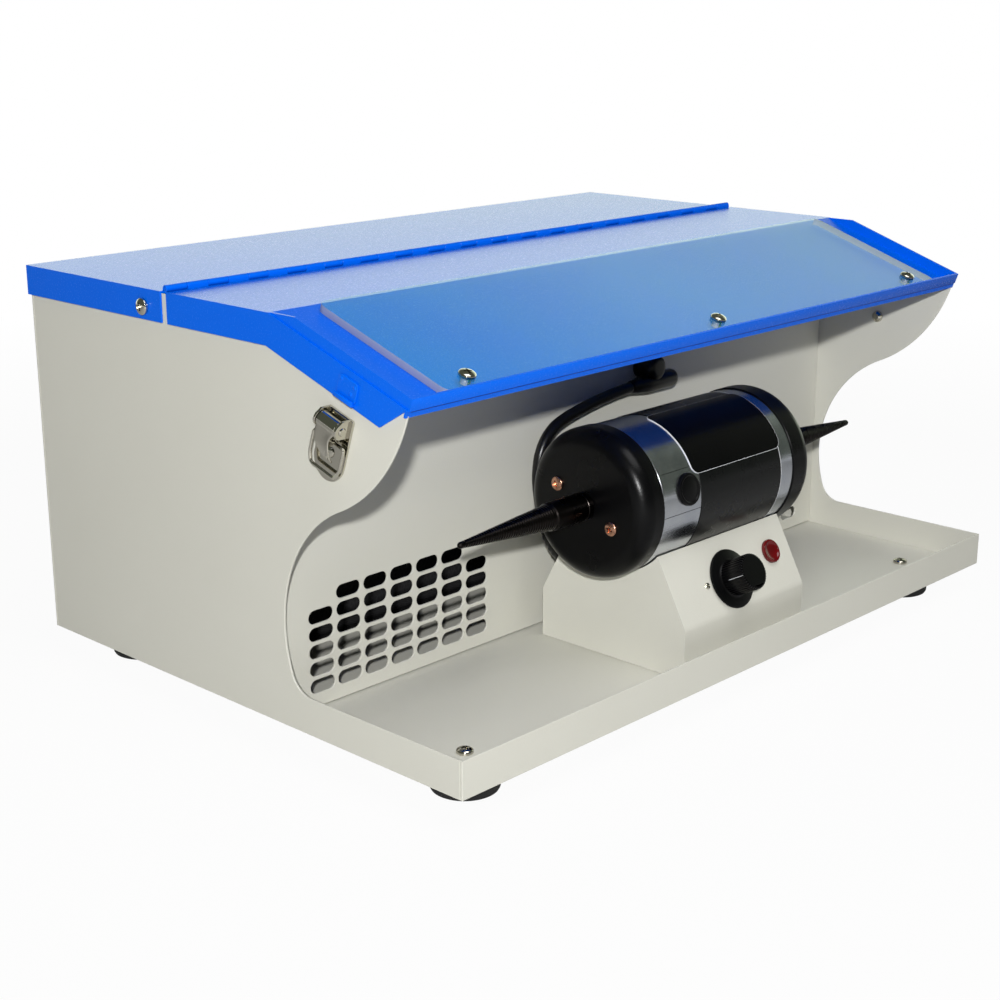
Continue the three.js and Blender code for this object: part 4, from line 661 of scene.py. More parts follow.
sawn_edge, shader, wire = finish("sawn_edge", colour(140, 148, 176), 0.5, IOR=1.3)
saw = noise(wire, 500.0, 3.0, 0.6, stretch=(1, 8, 8))
wire.feed(shader.inputs["Base Color"], saw.blend(colour(112, 122, 156), colour(160, 166, 190)))
bump(wire, shader, saw, 0.0001)

outline = rounded(rectangle((-SCREEN_HALF, -SCREEN_TO), (SCREEN_HALF, -SCREEN_FROM)), 6)
holes = [circle((side * SCREEN_SCREW_X, SCREEN_SCREW_UP), SCREW_HOLE) for side in (-1, 0, 1)]
mesh = blank("clear_screen", outline, holes, SCREEN_THICKNESS, 0.15)
for face in mesh.polygons:
    face.material_index = 1 if abs(face.normal.x) > 0.4 else 0
at = turn_to((1, 0, 0), slope_up, slope_out, on_cover + slope_out * SCREEN_LIFT)
built("clear_screen", mesh, clear_acrylic, "lid", at, "screen")
mesh.materials.append(sawn_edge)

# Screws
# Pan heads with a cross recess. The ones in the sheet metal are bright nickel, and the motor's are
# copper coloured.

SCRATCHES = 260.0
COVER_FACE = 226.5


def metal(name, base, roughness, scratch=0.05):
    """Bare or plated metal with fine scratches in its roughness and its surface."""
    material, shader, wire = finish(name, base, roughness, Metallic=1.0)
    wear = noise(wire, SCRATCHES, 4.0, 0.6)
    wire.feed(shader.inputs["Roughness"], wear * (2 * scratch) + (roughness - scratch))
    bump(wire, shader, wear, 0.00001)
    return material


def worked(holder):
    """The mesh of an object with its modifiers in it; the object goes."""
    graph = bpy.context.evaluated_depsgraph_get()
    made = bpy.data.meshes.new_from_object(holder.evaluated_get(graph))
    bpy.data.objects.remove(holder)
    return made


def cut_away(mesh, *tools):
    """Takes the tools' shapes out of a mesh."""
    holder = added("cutting", mesh)
    cutters = [added("cutter", tool) for tool in tools]
    for cutter in cutters:
        step = holder.modifiers.new("cut", "BOOLEAN")
        step.operation, step.solver, step.object = "DIFFERENCE", "EXACT", cutter
    made = worked(holder)
    for cutter in cutters:
        bpy.data.objects.remove(cutter)
    made.name = mesh.name
    made.materials.clear()
    return smooth(made, 30)


def pan_head(name, shank, radius=4.2, height=2.6, shank_radius=2.0):
    """A domed head on z = 0 with a cross recess, and its shank below."""
    crown = [(height * math.sin(math.radians(a)) * 0.6 + height * 0.4,
              radius * math.cos(math.radians(a))) for a in range(0, 91, 10)]
    top = crown[-1][0]
    profile = [(-shank, 0), (-shank, shank_radius), (0, shank_radius), (0, radius * 0.97),
               (0.15, radius), *crown[:-1], (top, 0)]
    wide, deep, arm = radius * 0.12, height * 0.65, radius * 0.5
    return cut_away(
        turned(name, profile, 40),
        brick("arm", (-arm, -wide, top - deep), (arm, wide, top + 1)),
        brick("arm", (-wide, -arm, top - deep), (wide, arm, top + 1)))


def outward(sign, place):
    """The matrix that points a piece's Z to the left, -1, or to the right, 1, at a place."""
    return turn_to((0, sign, 0), (0, 0, 1), (sign, 0, 0), place)


nickel = metal("bright_nickel", colour(200, 196, 184), 0.09)
copper = metal("copper_plate", colour(196, 148, 124), 0.26)

screen_head = pan_head("screen_screw", 3.8)
for place, side in (("left", -1), ("middle", 0), ("right", 1)):
    x = side * SCREEN_SCREW_X
    foot = Vector((x, BREAK_Y, COVER_TOP)) + slope_up * SCREEN_SCREW_UP + slope_out * 4.3
    at = turn_to((1, 0, 0), slope_up, slope_out, foot) @ Matrix.Rotation(0.5 + x, 4, "Z")
    name = place + "_screen_screw"
    built(name + "_head", screen_head.copy(), nickel, "lid", at, name)

cover_head = pan_head("cover_screw", 2.5)
for side, sign in SIDES:
    at = outward(sign, (sign * COVER_FACE, *COVER_SCREW)) @ Matrix.Rotation(0.3, 4, "Z")
    name = side + "_rear_cover_screw"
    built(name + "_head", cover_head.copy(), nickel, "cabinet", at, name)

# Feet
# Moulded black rubber, each held by a pan-head screw through the tray.

FEET = (("front_left", -190, -127), ("front_right", 190, -127),
        ("rear_left", -190, 125.5), ("rear_right", 190, 125.5))
FOOT_PROFILE = ((0, 0), (0, 15.4), (0.4, 16.1), (1.5, 16.7), (13.5, 17.6), (14.8, 17.7),
                (15.5, 17.3), (15.8, 16.6), (15.8, 2.3), (6, 2.3), (6, 0))


def dull(name, base, roughness, grain=None, clouds=None, stretch=(1, 1, 1), **sockets):
    """A plain finish. Its grain is (scale, detail, depth), and the clouds in its roughness are
    (scale, detail, spread, least)."""
    material, shader, wire = finish(name, base, roughness, **sockets)
    if grain:
        scale, detail, depth = grain
        bump(wire, shader, noise(wire, scale, detail), depth)
    if clouds:
        scale, detail, spread, least = clouds
        cloud = noise(wire, scale, detail, stretch=stretch)
        wire.feed(shader.inputs["Roughness"], cloud * spread + least)
    return material


rubber = dull("black_rubber", colour(24, 24, 25), 0.7, grain=(700.0, 3.0, 0.00004))
foot_head = pan_head("foot_screw", 11.1)
for corner, x, y in FEET:
    mesh = turned(corner + "_rubber", FOOT_PROFILE, 64)
    built(corner + "_rubber", mesh, rubber, "cabinet", shifted(x, y, 0), corner + "_foot")
    at = shifted(x, y, FLOOR + GAP) @ Matrix.Rotation(0.4 + x * y, 4, "Z")
    built(corner + "_head", foot_head.copy(), nickel, "cabinet", at, corner + "_foot_screw")

# Latches
# Nickel-plated toggle latches: a plate with two ears and a pin, a lever rolled round the pin that
# ends in a curled tongue, and a wire bail in the lever's eye. The keeper is spot-welded to the
# lid's flange. Their shapes are drawn with X out of the side panel and Z up the slope.

ALONG_Y = ((1, 0, 0), (0, 0, -1), (0, 1, 0))
LATCH_CENTRE = (-81.0, 162.0)
PLATE_THICKNESS = 1.2
LEVER_PIN = (5.4, 13.0)
BAIL_EYE = (3.8, 4.6)
BAIL_RADIUS = 0.8
KEEPER_PLACE = (2.6, 24.9)
TONGUE = (
    (0, -5.2, 6.9, 3.5), (-2.5, -5.3, 6.9, 3.5), (-4.5, -5.4, 5.2, 3.6), (-6.5, -5.2, 4.7, 3.7),
    (-8.5, -4.6, 5.1, 3.8), (-10.5, -3.4, 5.8, 3.8), (-12.5, -1.6, 6.4, 3.4),
    (-14.2, 0.7, 6.8, 2.8), (-15.6, 3.6, 7.0, 2.0), (-16.4, 5.9, 6.9, 1.3))


def formed(name, mesh, thickness, rounds):
    """A surface given its thickness and its smooth bends."""
    holder = added(name, mesh)
    sheet = holder.modifiers.new("sheet", "SOLIDIFY")
    sheet.thickness, sheet.offset = thickness * MM, 0
    bends = holder.modifiers.new("bends", "SUBSURF")
    bends.levels = bends.render_levels = rounds
    made = worked(holder)
    made.shade_smooth()
    return made


def sheet_of_rows(name, rows):
    """A surface through rows of points, all with the same count."""
    mesh = bpy.data.meshes.new(name)
    wide = len(rows[0])
    faces = [(i * wide + k, i * wide + k + 1, (i + 1) * wide + k + 1, (i + 1) * wide + k)
             for i in range(len(rows) - 1) for k in range(wide - 1)]
    mesh.from_pydata([[v * MM for v in point] for row in rows for point in row], [], faces)
    return mesh


def round_wire(name, points, radius, rounds, closed):
    """A curve with a round section through points in metres."""
    curve = poly_curve(name, "3D", [points], closed)
    curve.bevel_depth = radius * MM
    curve.bevel_resolution = rounds
    curve.use_fill_caps = True
    return curve


def tongue_row(height, near, far, out):
    """Seven points across the tongue, which is dished more towards its end."""
    dish = 0.5 * min(1, -height / 9)
    return [(out - 0.55 - dish * (1 - (2 * k / 6 - 1) ** 2), near + (far - near) * k / 6, height)
            for k in range(7)]


plate = blank("latch_plate", [
    (9.2, 18), (-5.6, 18), (-7.2, 17.2), (-9.4, 12.2), (-10, 10.0),
    *arc((0, -6.5), 10, 180, 360, 24), (10, 17.2)], [], PLATE_THICKNESS, 0.25)
ear = blank("latch_ear", [
    (0.4, 18), (0.4, 8.8), *arc(LEVER_PIN, 4.2, -90, 60, 20), (6.2, 18)],
    [], PLATE_THICKNESS, 0.3)
pin = turned("latch_pin", [
    (-7.3, 0), (-7.3, 1.6), (-6.9, 2.0), (-6.7, 1.1), (8.4, 1.1), (8.6, 2.0), (9.0, 1.6),
    (9.0, 0)], 24)
rivet = turned("latch_rivet", [
    (-3.6, 0), (-3.6, 1.8), (-2.6, 3.2), (-1.4, 3.6), (-1.4, 1.6), (1.5, 1.6), (1.5, 2.6),
    (2.0, 2.4), (2.4, 1.3), (2.5, 0)], 32)
latch_base = merged(
    "latch_base", (plate, turn_to(*ALONG_X, (0.2, 0, 0))),
    (ear, turn_to(*UPRIGHT, (0, 8.5, 0))), (ear, turn_to(*UPRIGHT, (0, -5.6, 0))),
    (pin, turn_to(*ALONG_Y, (LEVER_PIN[0], 0, LEVER_PIN[1]))),
    (rivet, turn_to(*ALONG_X, (0, 0, -2.5))))

roll = turned("roll", [
    (-5.3, 1.5), (-5.3, 3.4), (-5.0, 3.8), (6.6, 3.8), (6.95, 3.4), (6.95, 1.5), (-5.3, 1.5)], 40)
tongue = formed("tongue", sheet_of_rows("tongue", [tongue_row(*row) for row in TONGUE]), 0.9, 2)
lug = turned("lug", [
    (-3, 1.15), (-3, 1.8), (-2.8, 2.05), (2.8, 2.05), (3, 1.8), (3, 1.15), (-3, 1.15)], 28)
eye = (BAIL_EYE[0] - LEVER_PIN[0], BAIL_EYE[1] - LEVER_PIN[1])
strap = brick("strap", (eye[0] + 0.8, -3, eye[1] - 1.6), (2.9, 3, eye[1] + 1.6))
latch_lever = merged(
    "latch_lever", (roll, turn_to(*ALONG_Y)), (tongue, HERE), (strap, HERE),
    (lug, turn_to(*ALONG_Y, (eye[0], 0, eye[1]))))

bail_line = rounded([(0, -10.2, 0), (0, 10.2, 0), (0, 10.2, -11.0), (0, 8.0, -16), (0, -8.4, -16),
                     (0, -10.2, -11.0)], 1.7)
bail_line = [[v * MM for v in place] for place in bail_line]
latch_bail = smooth(curve_mesh(round_wire("latch_bail", bail_line, BAIL_RADIUS, 4, True)), 60)

keeper_plate = blank("keeper_plate", rounded(rectangle((-6.5, 0.6), (6.5, 11)), 2.5), [], 0.7, 0.34)
hook_outline = [(1.5, 0), (3.9, 0), (3.9, 2.4), (2.9, 2.4), (2.9, 1.0), (1.5, 1.0)]
hook = blank("keeper_hook", rounded(hook_outline, 0.5), [], 12.6, 0.3)
weld_mark = turned("weld_mark", [(-0.6, 0), (-0.6, 1.2), (0, 1.2), (0.3, 0.8), (0.42, 0)], 20)
marks = [(weld_mark, turn_to(*ALONG_X, (2.15, aside, up)))
         for aside, up in ((-4.4, 9.0), (4.6, 8.6), (2.8, 4.6))]
keeper = merged("keeper", (keeper_plate, turn_to(*ALONG_X, (1.5, 0, 0))),
                (hook, turn_to(*UPRIGHT, (0, 6.3, 0))), *marks)

for side, sign in SIDES:
    at = turn_to((sign, 0, 0), slope_up * sign, slope_out, (sign * HALF_WIDTH, *LATCH_CENTRE))
    for piece, node, mesh, film, body, (out, aside, up) in (
            ("_latch_plate", "base", latch_base, nickel, "cabinet", (0, 0, 0)),
            ("_latch_tongue", "lever", latch_lever, nickel, side + "_lever",
             (LEVER_PIN[0], 0, LEVER_PIN[1])),
            ("_latch_wire", "bail", latch_bail, nickel, side + "_bail",
             (BAIL_EYE[0], 0, BAIL_EYE[1])),
            ("_keeper", "keeper", keeper, blue_coat, "lid",
             (0, -sign * KEEPER_PLACE[0], KEEPER_PLACE[1]))):
        at_piece = at @ shifted(out, aside, up)
        built(side + piece, mesh.copy(), film, body, at_piece, side + "_latch_" + node)

# Motor body
# A steel tube with two bright turned bands and a black film between them, closed by two black
# painted end caps with rounded shoulders. A bare black label with a thin pale border is stuck over
# the film.

MOTOR = Vector((0, -99.0, 105.6))
ON_MOTOR = Matrix.Translation(MOTOR * MM)
ON_SHAFT = turn_to(*ALONG_X, MOTOR)
CAN_INSIDE = 36.8
LABEL_FROM, LABEL_TO = 22.0, 86.0
LABEL_LEFT, LABEL_RIGHT = -33.0, 43.2
LABEL_CORNER = 5.0
FILM_RADIUS = 39.0
UNDER_LABEL = 38.6
CAP_RADIUS = 39.4
CAP_ROUND = 9
CAP_ENDS = (("left", -1, 59.2, 75.0), ("right", 1, 52.2, 71.0))

bright_band, shader, wire = finish("turned_band", colour(196, 200, 208), 0.2, Metallic=1.0)
lines = noise(wire, 260.0, 3.0, 0.7, stretch=(14, 0.3, 0.3))
smears = noise(wire, 60.0, 4.0, 0.6, stretch=(0.6, 1, 1))
wire.feed(shader.inputs["Roughness"], lines * 0.16 + smears * 0.14 + 0.06)
wire.feed(shader.inputs["Base Color"], smears.blend(colour(170, 176, 188), colour(214, 216, 220)))
bump(wire, shader, lines, 0.00002)

satin_black = dull(
    "satin_black", colour(6, 6, 7), 0.28, (900.0, 2.0, 0.00003), (30.0, 3.0, 0.1, 0.23), IOR=1.25)
black_film = dull(
    "black_film", colour(6, 7, 8), 0.3, (1400.0, 2.0, 0.00001), (60.0, 3.0, 0.16, 0.2),
    stretch=(0.4, 1, 1), IOR=1.33)
label_black = dull("label_black", colour(4, 4, 5), 0.26, clouds=(40.0, 3.0, 0.1, 0.2), IOR=1.22)
label_white = dull("label_white", colour(214, 216, 220), 0.4, clouds=(400.0, 2.0, 0.2, 0.3))

for name, film, nodes, profile in (
        ("left_band", bright_band, ["motor_can"],
         [(-59, CAN_INSIDE), (-59, 38.4), (-58.7, 38.7), (-29.1, 38.7), (-29, CAN_INSIDE)]),
        ("right_band", bright_band, [],
         [(41.1, CAN_INSIDE), (41.2, 38.7), (51.7, 38.7), (52, 38.4), (52, CAN_INSIDE)]),
        ("black_sleeve", black_film, [],
         [(-29, CAN_INSIDE), (-29, 38.8), (-28.8, FILM_RADIUS), (40.7, FILM_RADIUS), (40.9, 38.8),
          (41, CAN_INSIDE)]),
        ("sleeve_edge", label_white, [],
         [(40.7, CAN_INSIDE), (40.7, 39.04), (41.15, FILM_RADIUS), (41.15, CAN_INSIDE)])):
    mesh = turned(name, [*profile, profile[0]], 128)
    built(name, mesh, film, "cabinet", ON_SHAFT, *nodes)


def wrapped(name, inset, radius):
    """A thin patch on the motor's round wall, the label's outline drawn in by an inset."""
    corner = LABEL_CORNER - inset
    turn, span = inset / FILM_RADIUS, corner / FILM_RADIUS
    low, high = math.radians(LABEL_FROM) + turn, math.radians(LABEL_TO) - turn
    turns = [span * (1 - math.cos(math.pi / 2 * k / 8)) for k in range(8)]
    angles = [low + way for way in turns]
    angles += [low + span + (high - low - 2 * span) * k / 24 for k in range(25)]
    angles += [high - way for way in reversed(turns)]
    rows = []
    for angle in angles:
        past = max(0.0, span - min(angle - low, high - angle)) / span
        pull = inset + corner * (1 - math.sqrt(max(0.0, 1 - past ** 2)))
        left, right = LABEL_LEFT + pull, LABEL_RIGHT - pull
        ring, under = ((-math.cos(angle) * r, math.sin(angle) * r) for r in (radius, UNDER_LABEL))
        rows.append([(left, *under), (left, *ring), (right, *ring), (right, *under)])
    return smooth(sheet_of_rows(name, rows), 40)


for name, inset, radius, film in (
        ("label_border", 0, 39.1, label_white), ("label_face", 0.22, 39.16, label_black)):
    built(name, wrapped(name, inset, radius), film, "cabinet", ON_MOTOR)

for name, angle in (("band_seam", 29.0), ("band_lower_seam", -4.0)):
    seam = brick(name, (-58.4, -0.12, 38.0), (-29.2, 0.12, 38.74))
    at = ON_MOTOR @ Matrix.Rotation(math.radians(90 - angle), 4, "X")
    built(name, seam, satin_black, "cabinet", at)

for side, sign, edge, end in CAP_ENDS:
    shoulder = [(end - CAP_ROUND + CAP_ROUND * math.sin(math.radians(a)),
                 CAP_RADIUS - CAP_ROUND + CAP_ROUND * math.cos(math.radians(a)))
                for a in range(90, -1, -5)]
    profile = [(end - 3, 4.8), (end, 4.8), *shoulder, (edge + 0.4, CAP_RADIUS),
               (edge, CAP_RADIUS - 0.4), (edge, CAP_RADIUS - 3), (end - 5, CAP_RADIUS - 4),
               (end - 3, CAP_RADIUS - 8), (end - 3, 4.8)]
    mesh = turned(side + "_cap", profile, 128)
    built(side + "_cap", mesh, satin_black, "cabinet", outward(sign, MOTOR), side + "_motor_cap")

cap_head = pan_head("cap_screw", 5.6, 3.7, 1.9, 1.6)
for side, sign, edge, end in CAP_ENDS:
    for place, turn in (("front", -0.4), ("rear", 0.4)):
        name = side + "_cap_" + place + "_screw"
        low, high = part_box(name)
        middle = (low + high) / 2
        at = outward(sign, (sign * (end + 0.1), middle.y / MM, middle.z / MM))
        at = at @ Matrix.Rotation(turn, 4, "Z")
        built(name + "_head", cap_head.copy(), copper, "cabinet", at, name)

# Brush holders
# Black moulded caps with a raised ring, pressed into the can in front and behind.

BRUSH_X = -39
BRUSH_TILT = math.radians(13)
BRUSH_PROFILE = (
    (13, 0), (13, 4.2), (34.6, 4.2), (34.6, 8.4), (39.6, 8.4), (40.1, 8.1), (40.3, 7.6),
    (40.3, 7.0), (39.9, 6.5), (39.9, 6.1), (40.1, 5.0), (40.3, 2.5), (40.35, 0))

black_plastic = dull(
    "black_plastic", colour(5, 5, 6), 0.3, (900.0, 2.0, 0.00002), (80.0, 2.0, 0.12, 0.24), IOR=1.26)
on_brush = Matrix.Translation((MOTOR + Vector((BRUSH_X, 0, 0))) * MM)
for place, turn in (("front", math.pi - BRUSH_TILT), ("rear", -BRUSH_TILT)):
    name = place + "_brush"
    at = on_brush @ Matrix.Rotation(turn, 4, "X") @ Matrix.Rotation(-math.pi / 2, 4, "X")
    mesh = turned(name, BRUSH_PROFILE, 64)
    built(name, mesh, black_plastic, "cabinet", at, name + "_holder")

# Tapered spindles
# Dark oiled steel: a turned collar with a grub screw, then a blunt taper cut with a fine left or
# right thread that polishing buffs screw on to.

COLLAR_END = 103.0
TAPER_TIP = 165.5
THREAD_PITCH = 1.6
THREAD_DEPTH = 0.36

dark_steel, shader, wire = finish("oiled_steel", colour(30, 28, 27), 0.26, Metallic=1.0)
oil = noise(wire, 90.0, 4.0, 0.6, stretch=(0.5, 1, 1))
wire.feed(shader.inputs["Base Color"], oil.blend(colour(18, 17, 17), colour(46, 42, 40)))
wire.feed(shader.inputs["Roughness"], oil * 0.2 + 0.18)
grub_steel = metal("grub_steel", colour(28, 28, 30), 0.35)


def threaded(name, start, end, wide, narrow, hand):
    """A round taper with a screw thread of the given hand, along Z."""
    around, count = 48, int((end - start) / THREAD_PITCH * 6)
    shape = bmesh.new()
    rings = []
    for i in range(count + 1):
        height = start + (end - start) * i / count
        cone = wide + (narrow - wide) * i / count
        fade = min(1.0, i / 9, (count - i) / 6)
        ring = []
        for k in range(around):
            angle = 2 * math.pi * k / around
            phase = (height / THREAD_PITCH + hand * k / around) % 1
            radius = cone - THREAD_DEPTH * fade * abs(2 * phase - 1)
            ring.append(shape.verts.new((
                radius * math.cos(angle) * MM, radius * math.sin(angle) * MM, height * MM)))
        rings.append(ring)
    skin(shape, rings)
    mesh = filled(bpy.data.meshes.new(name), shape)
    mesh.shade_smooth()
    return mesh


for side, sign, edge, end in CAP_ENDS:
    start = end + 0.5
    collar = turned(side + "_collar", [
        (start, 4.2), (start, 6.9), (start + 0.4, 7.3), (start + 3.6, 7.3), (start + 3.9, 7.0),
        (start + 4.3, 7.0), (start + 4.6, 7.3), (COLLAR_END - 0.9, 7.3), (COLLAR_END, 6.6),
        (COLLAR_END, 4.2), (start, 4.2)], 96)
    cone = threaded(side + "_thread", COLLAR_END - 0.4, TAPER_TIP - 2.4, 6.8, 1.75, -sign)
    tip = turned(side + "_tip", [
        (TAPER_TIP - 3.0, 1.5), (TAPER_TIP - 2.3, 1.72), (TAPER_TIP - 1.3, 1.62),
        (TAPER_TIP - 0.5, 1.2), (TAPER_TIP - 0.1, 0.6), (TAPER_TIP, 0)], 32)
    mesh = merged(side + "_spindle", (collar, HERE), (cone, HERE), (tip, HERE))
    at = outward(sign, MOTOR)
    built(side + "_spindle", mesh, dark_steel, "spindle", at, side + "_taper")
    grub = turned(side + "_grub", [
        (5.5, 0), (5.5, 1.5), (7.15, 1.5), (7.25, 1.3), (7.0, 0.7), (6.4, 0.6), (6.4, 0)], 24)
    at = at @ shifted(0, 0, end + 14) @ Matrix.Rotation(math.pi / 2, 4, "Y")
    built(side + "_grub", grub, grub_steel, "spindle", at @ Matrix.Rotation(0.35 * sign, 4, "X"))

# Motor parts inside
# Laminated armature, ball bearings and the stator ring, in plain steel.

bare_steel = metal("bare_steel", colour(150, 150, 154), 0.35, 0.08)
for node in ("armature_shaft", "stator", "left_bearing", "right_bearing", "speed_control"):
    dressed(node, bare_steel, 0)

# Motor base
# A painted sheet pedestal with rolled shoulders, cut out round the can and open underneath.
# The knob and the pilot lamp sit on its slanted front, and the motor's lead comes out of its
# slanted back.

BASE_HALF_WIDTH, BASE_HALF_DEPTH = 52.0, 48.5
BASE_WALL, BASE_TOP = 27.1, 62.3
BASE_TOP_HALF = 29.6
BASE_BEND = 8.0
BASE_SHEET = 1.5
BASE_FLOOR = FLOOR + GAP
BASE_SLANT = math.atan2(BASE_TOP - BASE_WALL, BASE_HALF_DEPTH - BASE_TOP_HALF)
TRIM = 5
KNOB_AT, LAMP_AT, LEAD_AT = (-5, 16), (34.2, 22), (-45, 20)


def base_outline(inset, bottom):
    """The pedestal seen from its side, taller than its top by a trim that is cut off again."""
    lean = math.pi / 2 - BASE_SLANT
    shoulder = BASE_WALL - inset * math.tan(lean / 2)
    depth, bend = BASE_HALF_DEPTH - inset, BASE_BEND - inset
    top = depth - (BASE_TOP + TRIM - shoulder) / math.tan(BASE_SLANT)
    centre = (depth - bend, shoulder - bend * math.tan(lean / 2))
    rear = [*arc(centre, bend, 0, math.degrees(lean), 10), (top, BASE_TOP + TRIM)]
    front = [(-y, z) for y, z in reversed(rear)]
    return [(-depth, bottom), (depth, bottom), *rear, *front]


def prism(name, outline, half):
    """A straight bar along X from an outline in Y and Z, to half its length either way."""
    mesh = bpy.data.meshes.new(name)
    count = len(outline)
    points = [(x * MM, y * MM, z * MM) for x in (-half, half) for y, z in outline]
    faces = [tuple(range(count))[::-1], tuple(range(count, 2 * count))]
    faces += [(i, (i + 1) % count, count + (i + 1) % count, count + i) for i in range(count)]
    mesh.from_pydata(points, [], faces)
    shape = bmesh.new()
    shape.from_mesh(mesh)
    bmesh.ops.recalc_face_normals(shape, faces=shape.faces)
    return filled(mesh, shape)


def on_slant(x, up, back=1):
    """The place on the slanted front, or with back = -1 on the slanted rear: Z points out of it."""
    cos, sin = math.cos(BASE_SLANT), math.sin(BASE_SLANT)
    place = (x, MOTOR.y - back * (BASE_HALF_DEPTH - up * cos), BASE_FLOOR + (BASE_WALL + up * sin))
    return turn_to((back, 0, 0), (0, back * cos, sin), (0, -back * sin, cos), place)


def moved(mesh, at):
    mesh.transform(at)
    return mesh


base_at = shifted(0, MOTOR.y, BASE_FLOOR)
on_axis = turn_to(*ALONG_X, (0, 0, MOTOR.z - BASE_FLOOR))
room = [
    moved(turned("round_can", [(-60, 0), (-60, 39.3), (60, 39.3), (60, 0)], 128), on_axis),
    moved(turned("round_cap", [(51.9, 0), (51.9, 39.7), (71, 39.7), (71, 0)], 128), on_axis),
    brick("crown", (-60, -60, BASE_TOP), (60, 60, BASE_TOP + 20))]
for place, back, radius in ((KNOB_AT, 1, 4.8), (LAMP_AT, 1, 5.0), (LEAD_AT, -1, 4.2)):
    drill = turned("drill", [(-5, 0), (-5, radius), (5, radius), (5, 0)], 48)
    room.append(moved(drill, base_at.inverted() @ on_slant(*place, back)))
pedestal = cut_away(
    prism("pedestal", base_outline(0, 0), BASE_HALF_WIDTH),
    prism("inside", base_outline(BASE_SHEET, -5), BASE_HALF_WIDTH - BASE_SHEET), *room)
eased(built("pedestal", pedestal, grey_coat, "cabinet", base_at, "motor_base"), 0.9, 3)

# Knob and pilot lamp
# A black moulded knob with a thin skirt and a finely ribbed grip, and a dished dark red lens with
# its rim. A white strip along the grip's side that faces the camera is a painted highlight of the
# key lamp on a rib. A small screw stands beside the skirt.

GRIP_RADIUS, GRIP_RIBS, RIB_RISE = 9.7, 40, 0.14
PANEL_SCREW_AT = (-24.0, 17.0)

grip_outline = []
for k in range(8 * GRIP_RIBS):
    angle = 2 * math.pi * k / (8 * GRIP_RIBS)
    reach = GRIP_RADIUS - RIB_RISE * (1 + math.cos(GRIP_RIBS * angle))
    grip_outline.append((reach * math.cos(angle), reach * math.sin(angle)))
grip = blank("grip", grip_outline, [], 15.2, 0.9)
skirt = turned("skirt", [
    (-6, 0), (-6, 3), (0.8, 3), (0.8, 15.4), (1.0, 15.9), (1.5, 16), (2.0, 15.8), (2.3, 15.2),
    (2.4, 11), (2.6, 10.2), (3.2, 9.4), (3.2, 0)], 128)
knob = moved(merged("knob", (skirt, HERE), (grip, shifted(0, 0, 2.2))), on_slant(*KNOB_AT))
built("knob", knob, black_plastic, "speed_knob", None, "speed_knob")
# Painted highlight: a thin white strip along the grip, on its side towards the camera and the key
# lamp.
grip_highlight = brick("grip_highlight", (-9.8, -0.1, 7.4), (-9.3, 0.1, 17.0))
built("grip_highlight", grip_highlight, label_white, "speed_knob", on_slant(*KNOB_AT))

red_lens, shader, wire = finish("red_lens", colour(150, 8, 16), 0.1, IOR=1.5)
depth_of_red = noise(wire, 120.0, 2.0)
wire.feed(shader.inputs["Base Color"], depth_of_red.blend(colour(60, 0, 5), colour(112, 3, 10)))
wire.feed(shader.inputs["Roughness"], depth_of_red * 0.08 + 0.06)
lens = turned("lens", [
    (-12, 0), (-12, 4.8), (0.2, 4.8), (0.2, 6.2), (0.5, 6.5), (1.8, 6.5), (2.2, 6.3), (2.4, 5.9),
    (2.3, 5.4), (1.7, 4.9), (1.3, 3.6), (1.1, 1.8), (1.05, 0)], 64)
built("lamp_lens", lens, red_lens, "cabinet", on_slant(*LAMP_AT), "pilot_lamp")
panel_screw = pan_head("panel_screw", 3.0, 1.7, 1.2, 1.1)
built("panel_screw", panel_screw, nickel, "cabinet", on_slant(*PANEL_SCREW_AT))

# Motor lead
# A stiff rubber-sheathed cable. It leaves the motor base through a tapered boot, climbs behind the
# motor and ends in the moulded strain relief on the intake panel.

LEAD_RADIUS = 3.2
LEAD_EXIT = Vector((-45, -59.96, 62.12))
EXIT_WAY = Vector((0, 0.88103, 0.47305))
LEAD_ROUTE = (
    (-45, -64.4, 59.8), (-45, -59, 62.7), (-45.2, -53.5, 66.6), (-45.8, -49.5, 71.8),
    (-46.8, -47, 78), (-48.5, -46, 85.5), (-50.3, -46, 94), (-51.8, -46.2, 102.5),
    (-52, -46.5, 110), (-50.4, -46.5, 118), (-46.2, -46.5, 125.2), (-39.5, -46.5, 130.8),
    (-30, -46.5, 134.3), (-19, -46.4, 136.7), (-6, -46.2, 138.9), (8, -46, 140.6), (24, -46, 142))
BOOT_LENGTH = 22
BOOT_WIDE, BOOT_TAPER, BOOT_NECK = 4.9, 1.4, 4.1
BOOT_RIB, BOOT_RIB_PITCH = 0.22, 3.2
TAIL_PLACE = (0, -46, 142)


def smooth_line(points, steps):
    """A smooth line through the points."""
    points = [Vector(point) for point in points]
    ends = [points[0] * 2 - points[1], *points, points[-1] * 2 - points[-2]]
    line = []
    for a, b, c, d in zip(ends, ends[1:], ends[2:], ends[3:]):
        ab, bc, cd = (math.sqrt((q - p).length) for p, q in ((a, b), (b, c), (c, d)))
        leave = ((b - a) / ab - (c - a) / (ab + bc) + (c - b) / bc) * bc
        arrive = ((c - b) / bc - (d - b) / (bc + cd) + (d - c) / cd) * bc
        for k in range(steps):
            t = k / steps
            line.append(b * (2 * t ** 3 - 3 * t ** 2 + 1) + leave * (t ** 3 - 2 * t ** 2 + t)
                        + c * (3 * t ** 2 - 2 * t ** 3) + arrive * (t ** 3 - t ** 2))
    return [*line, points[-1]]


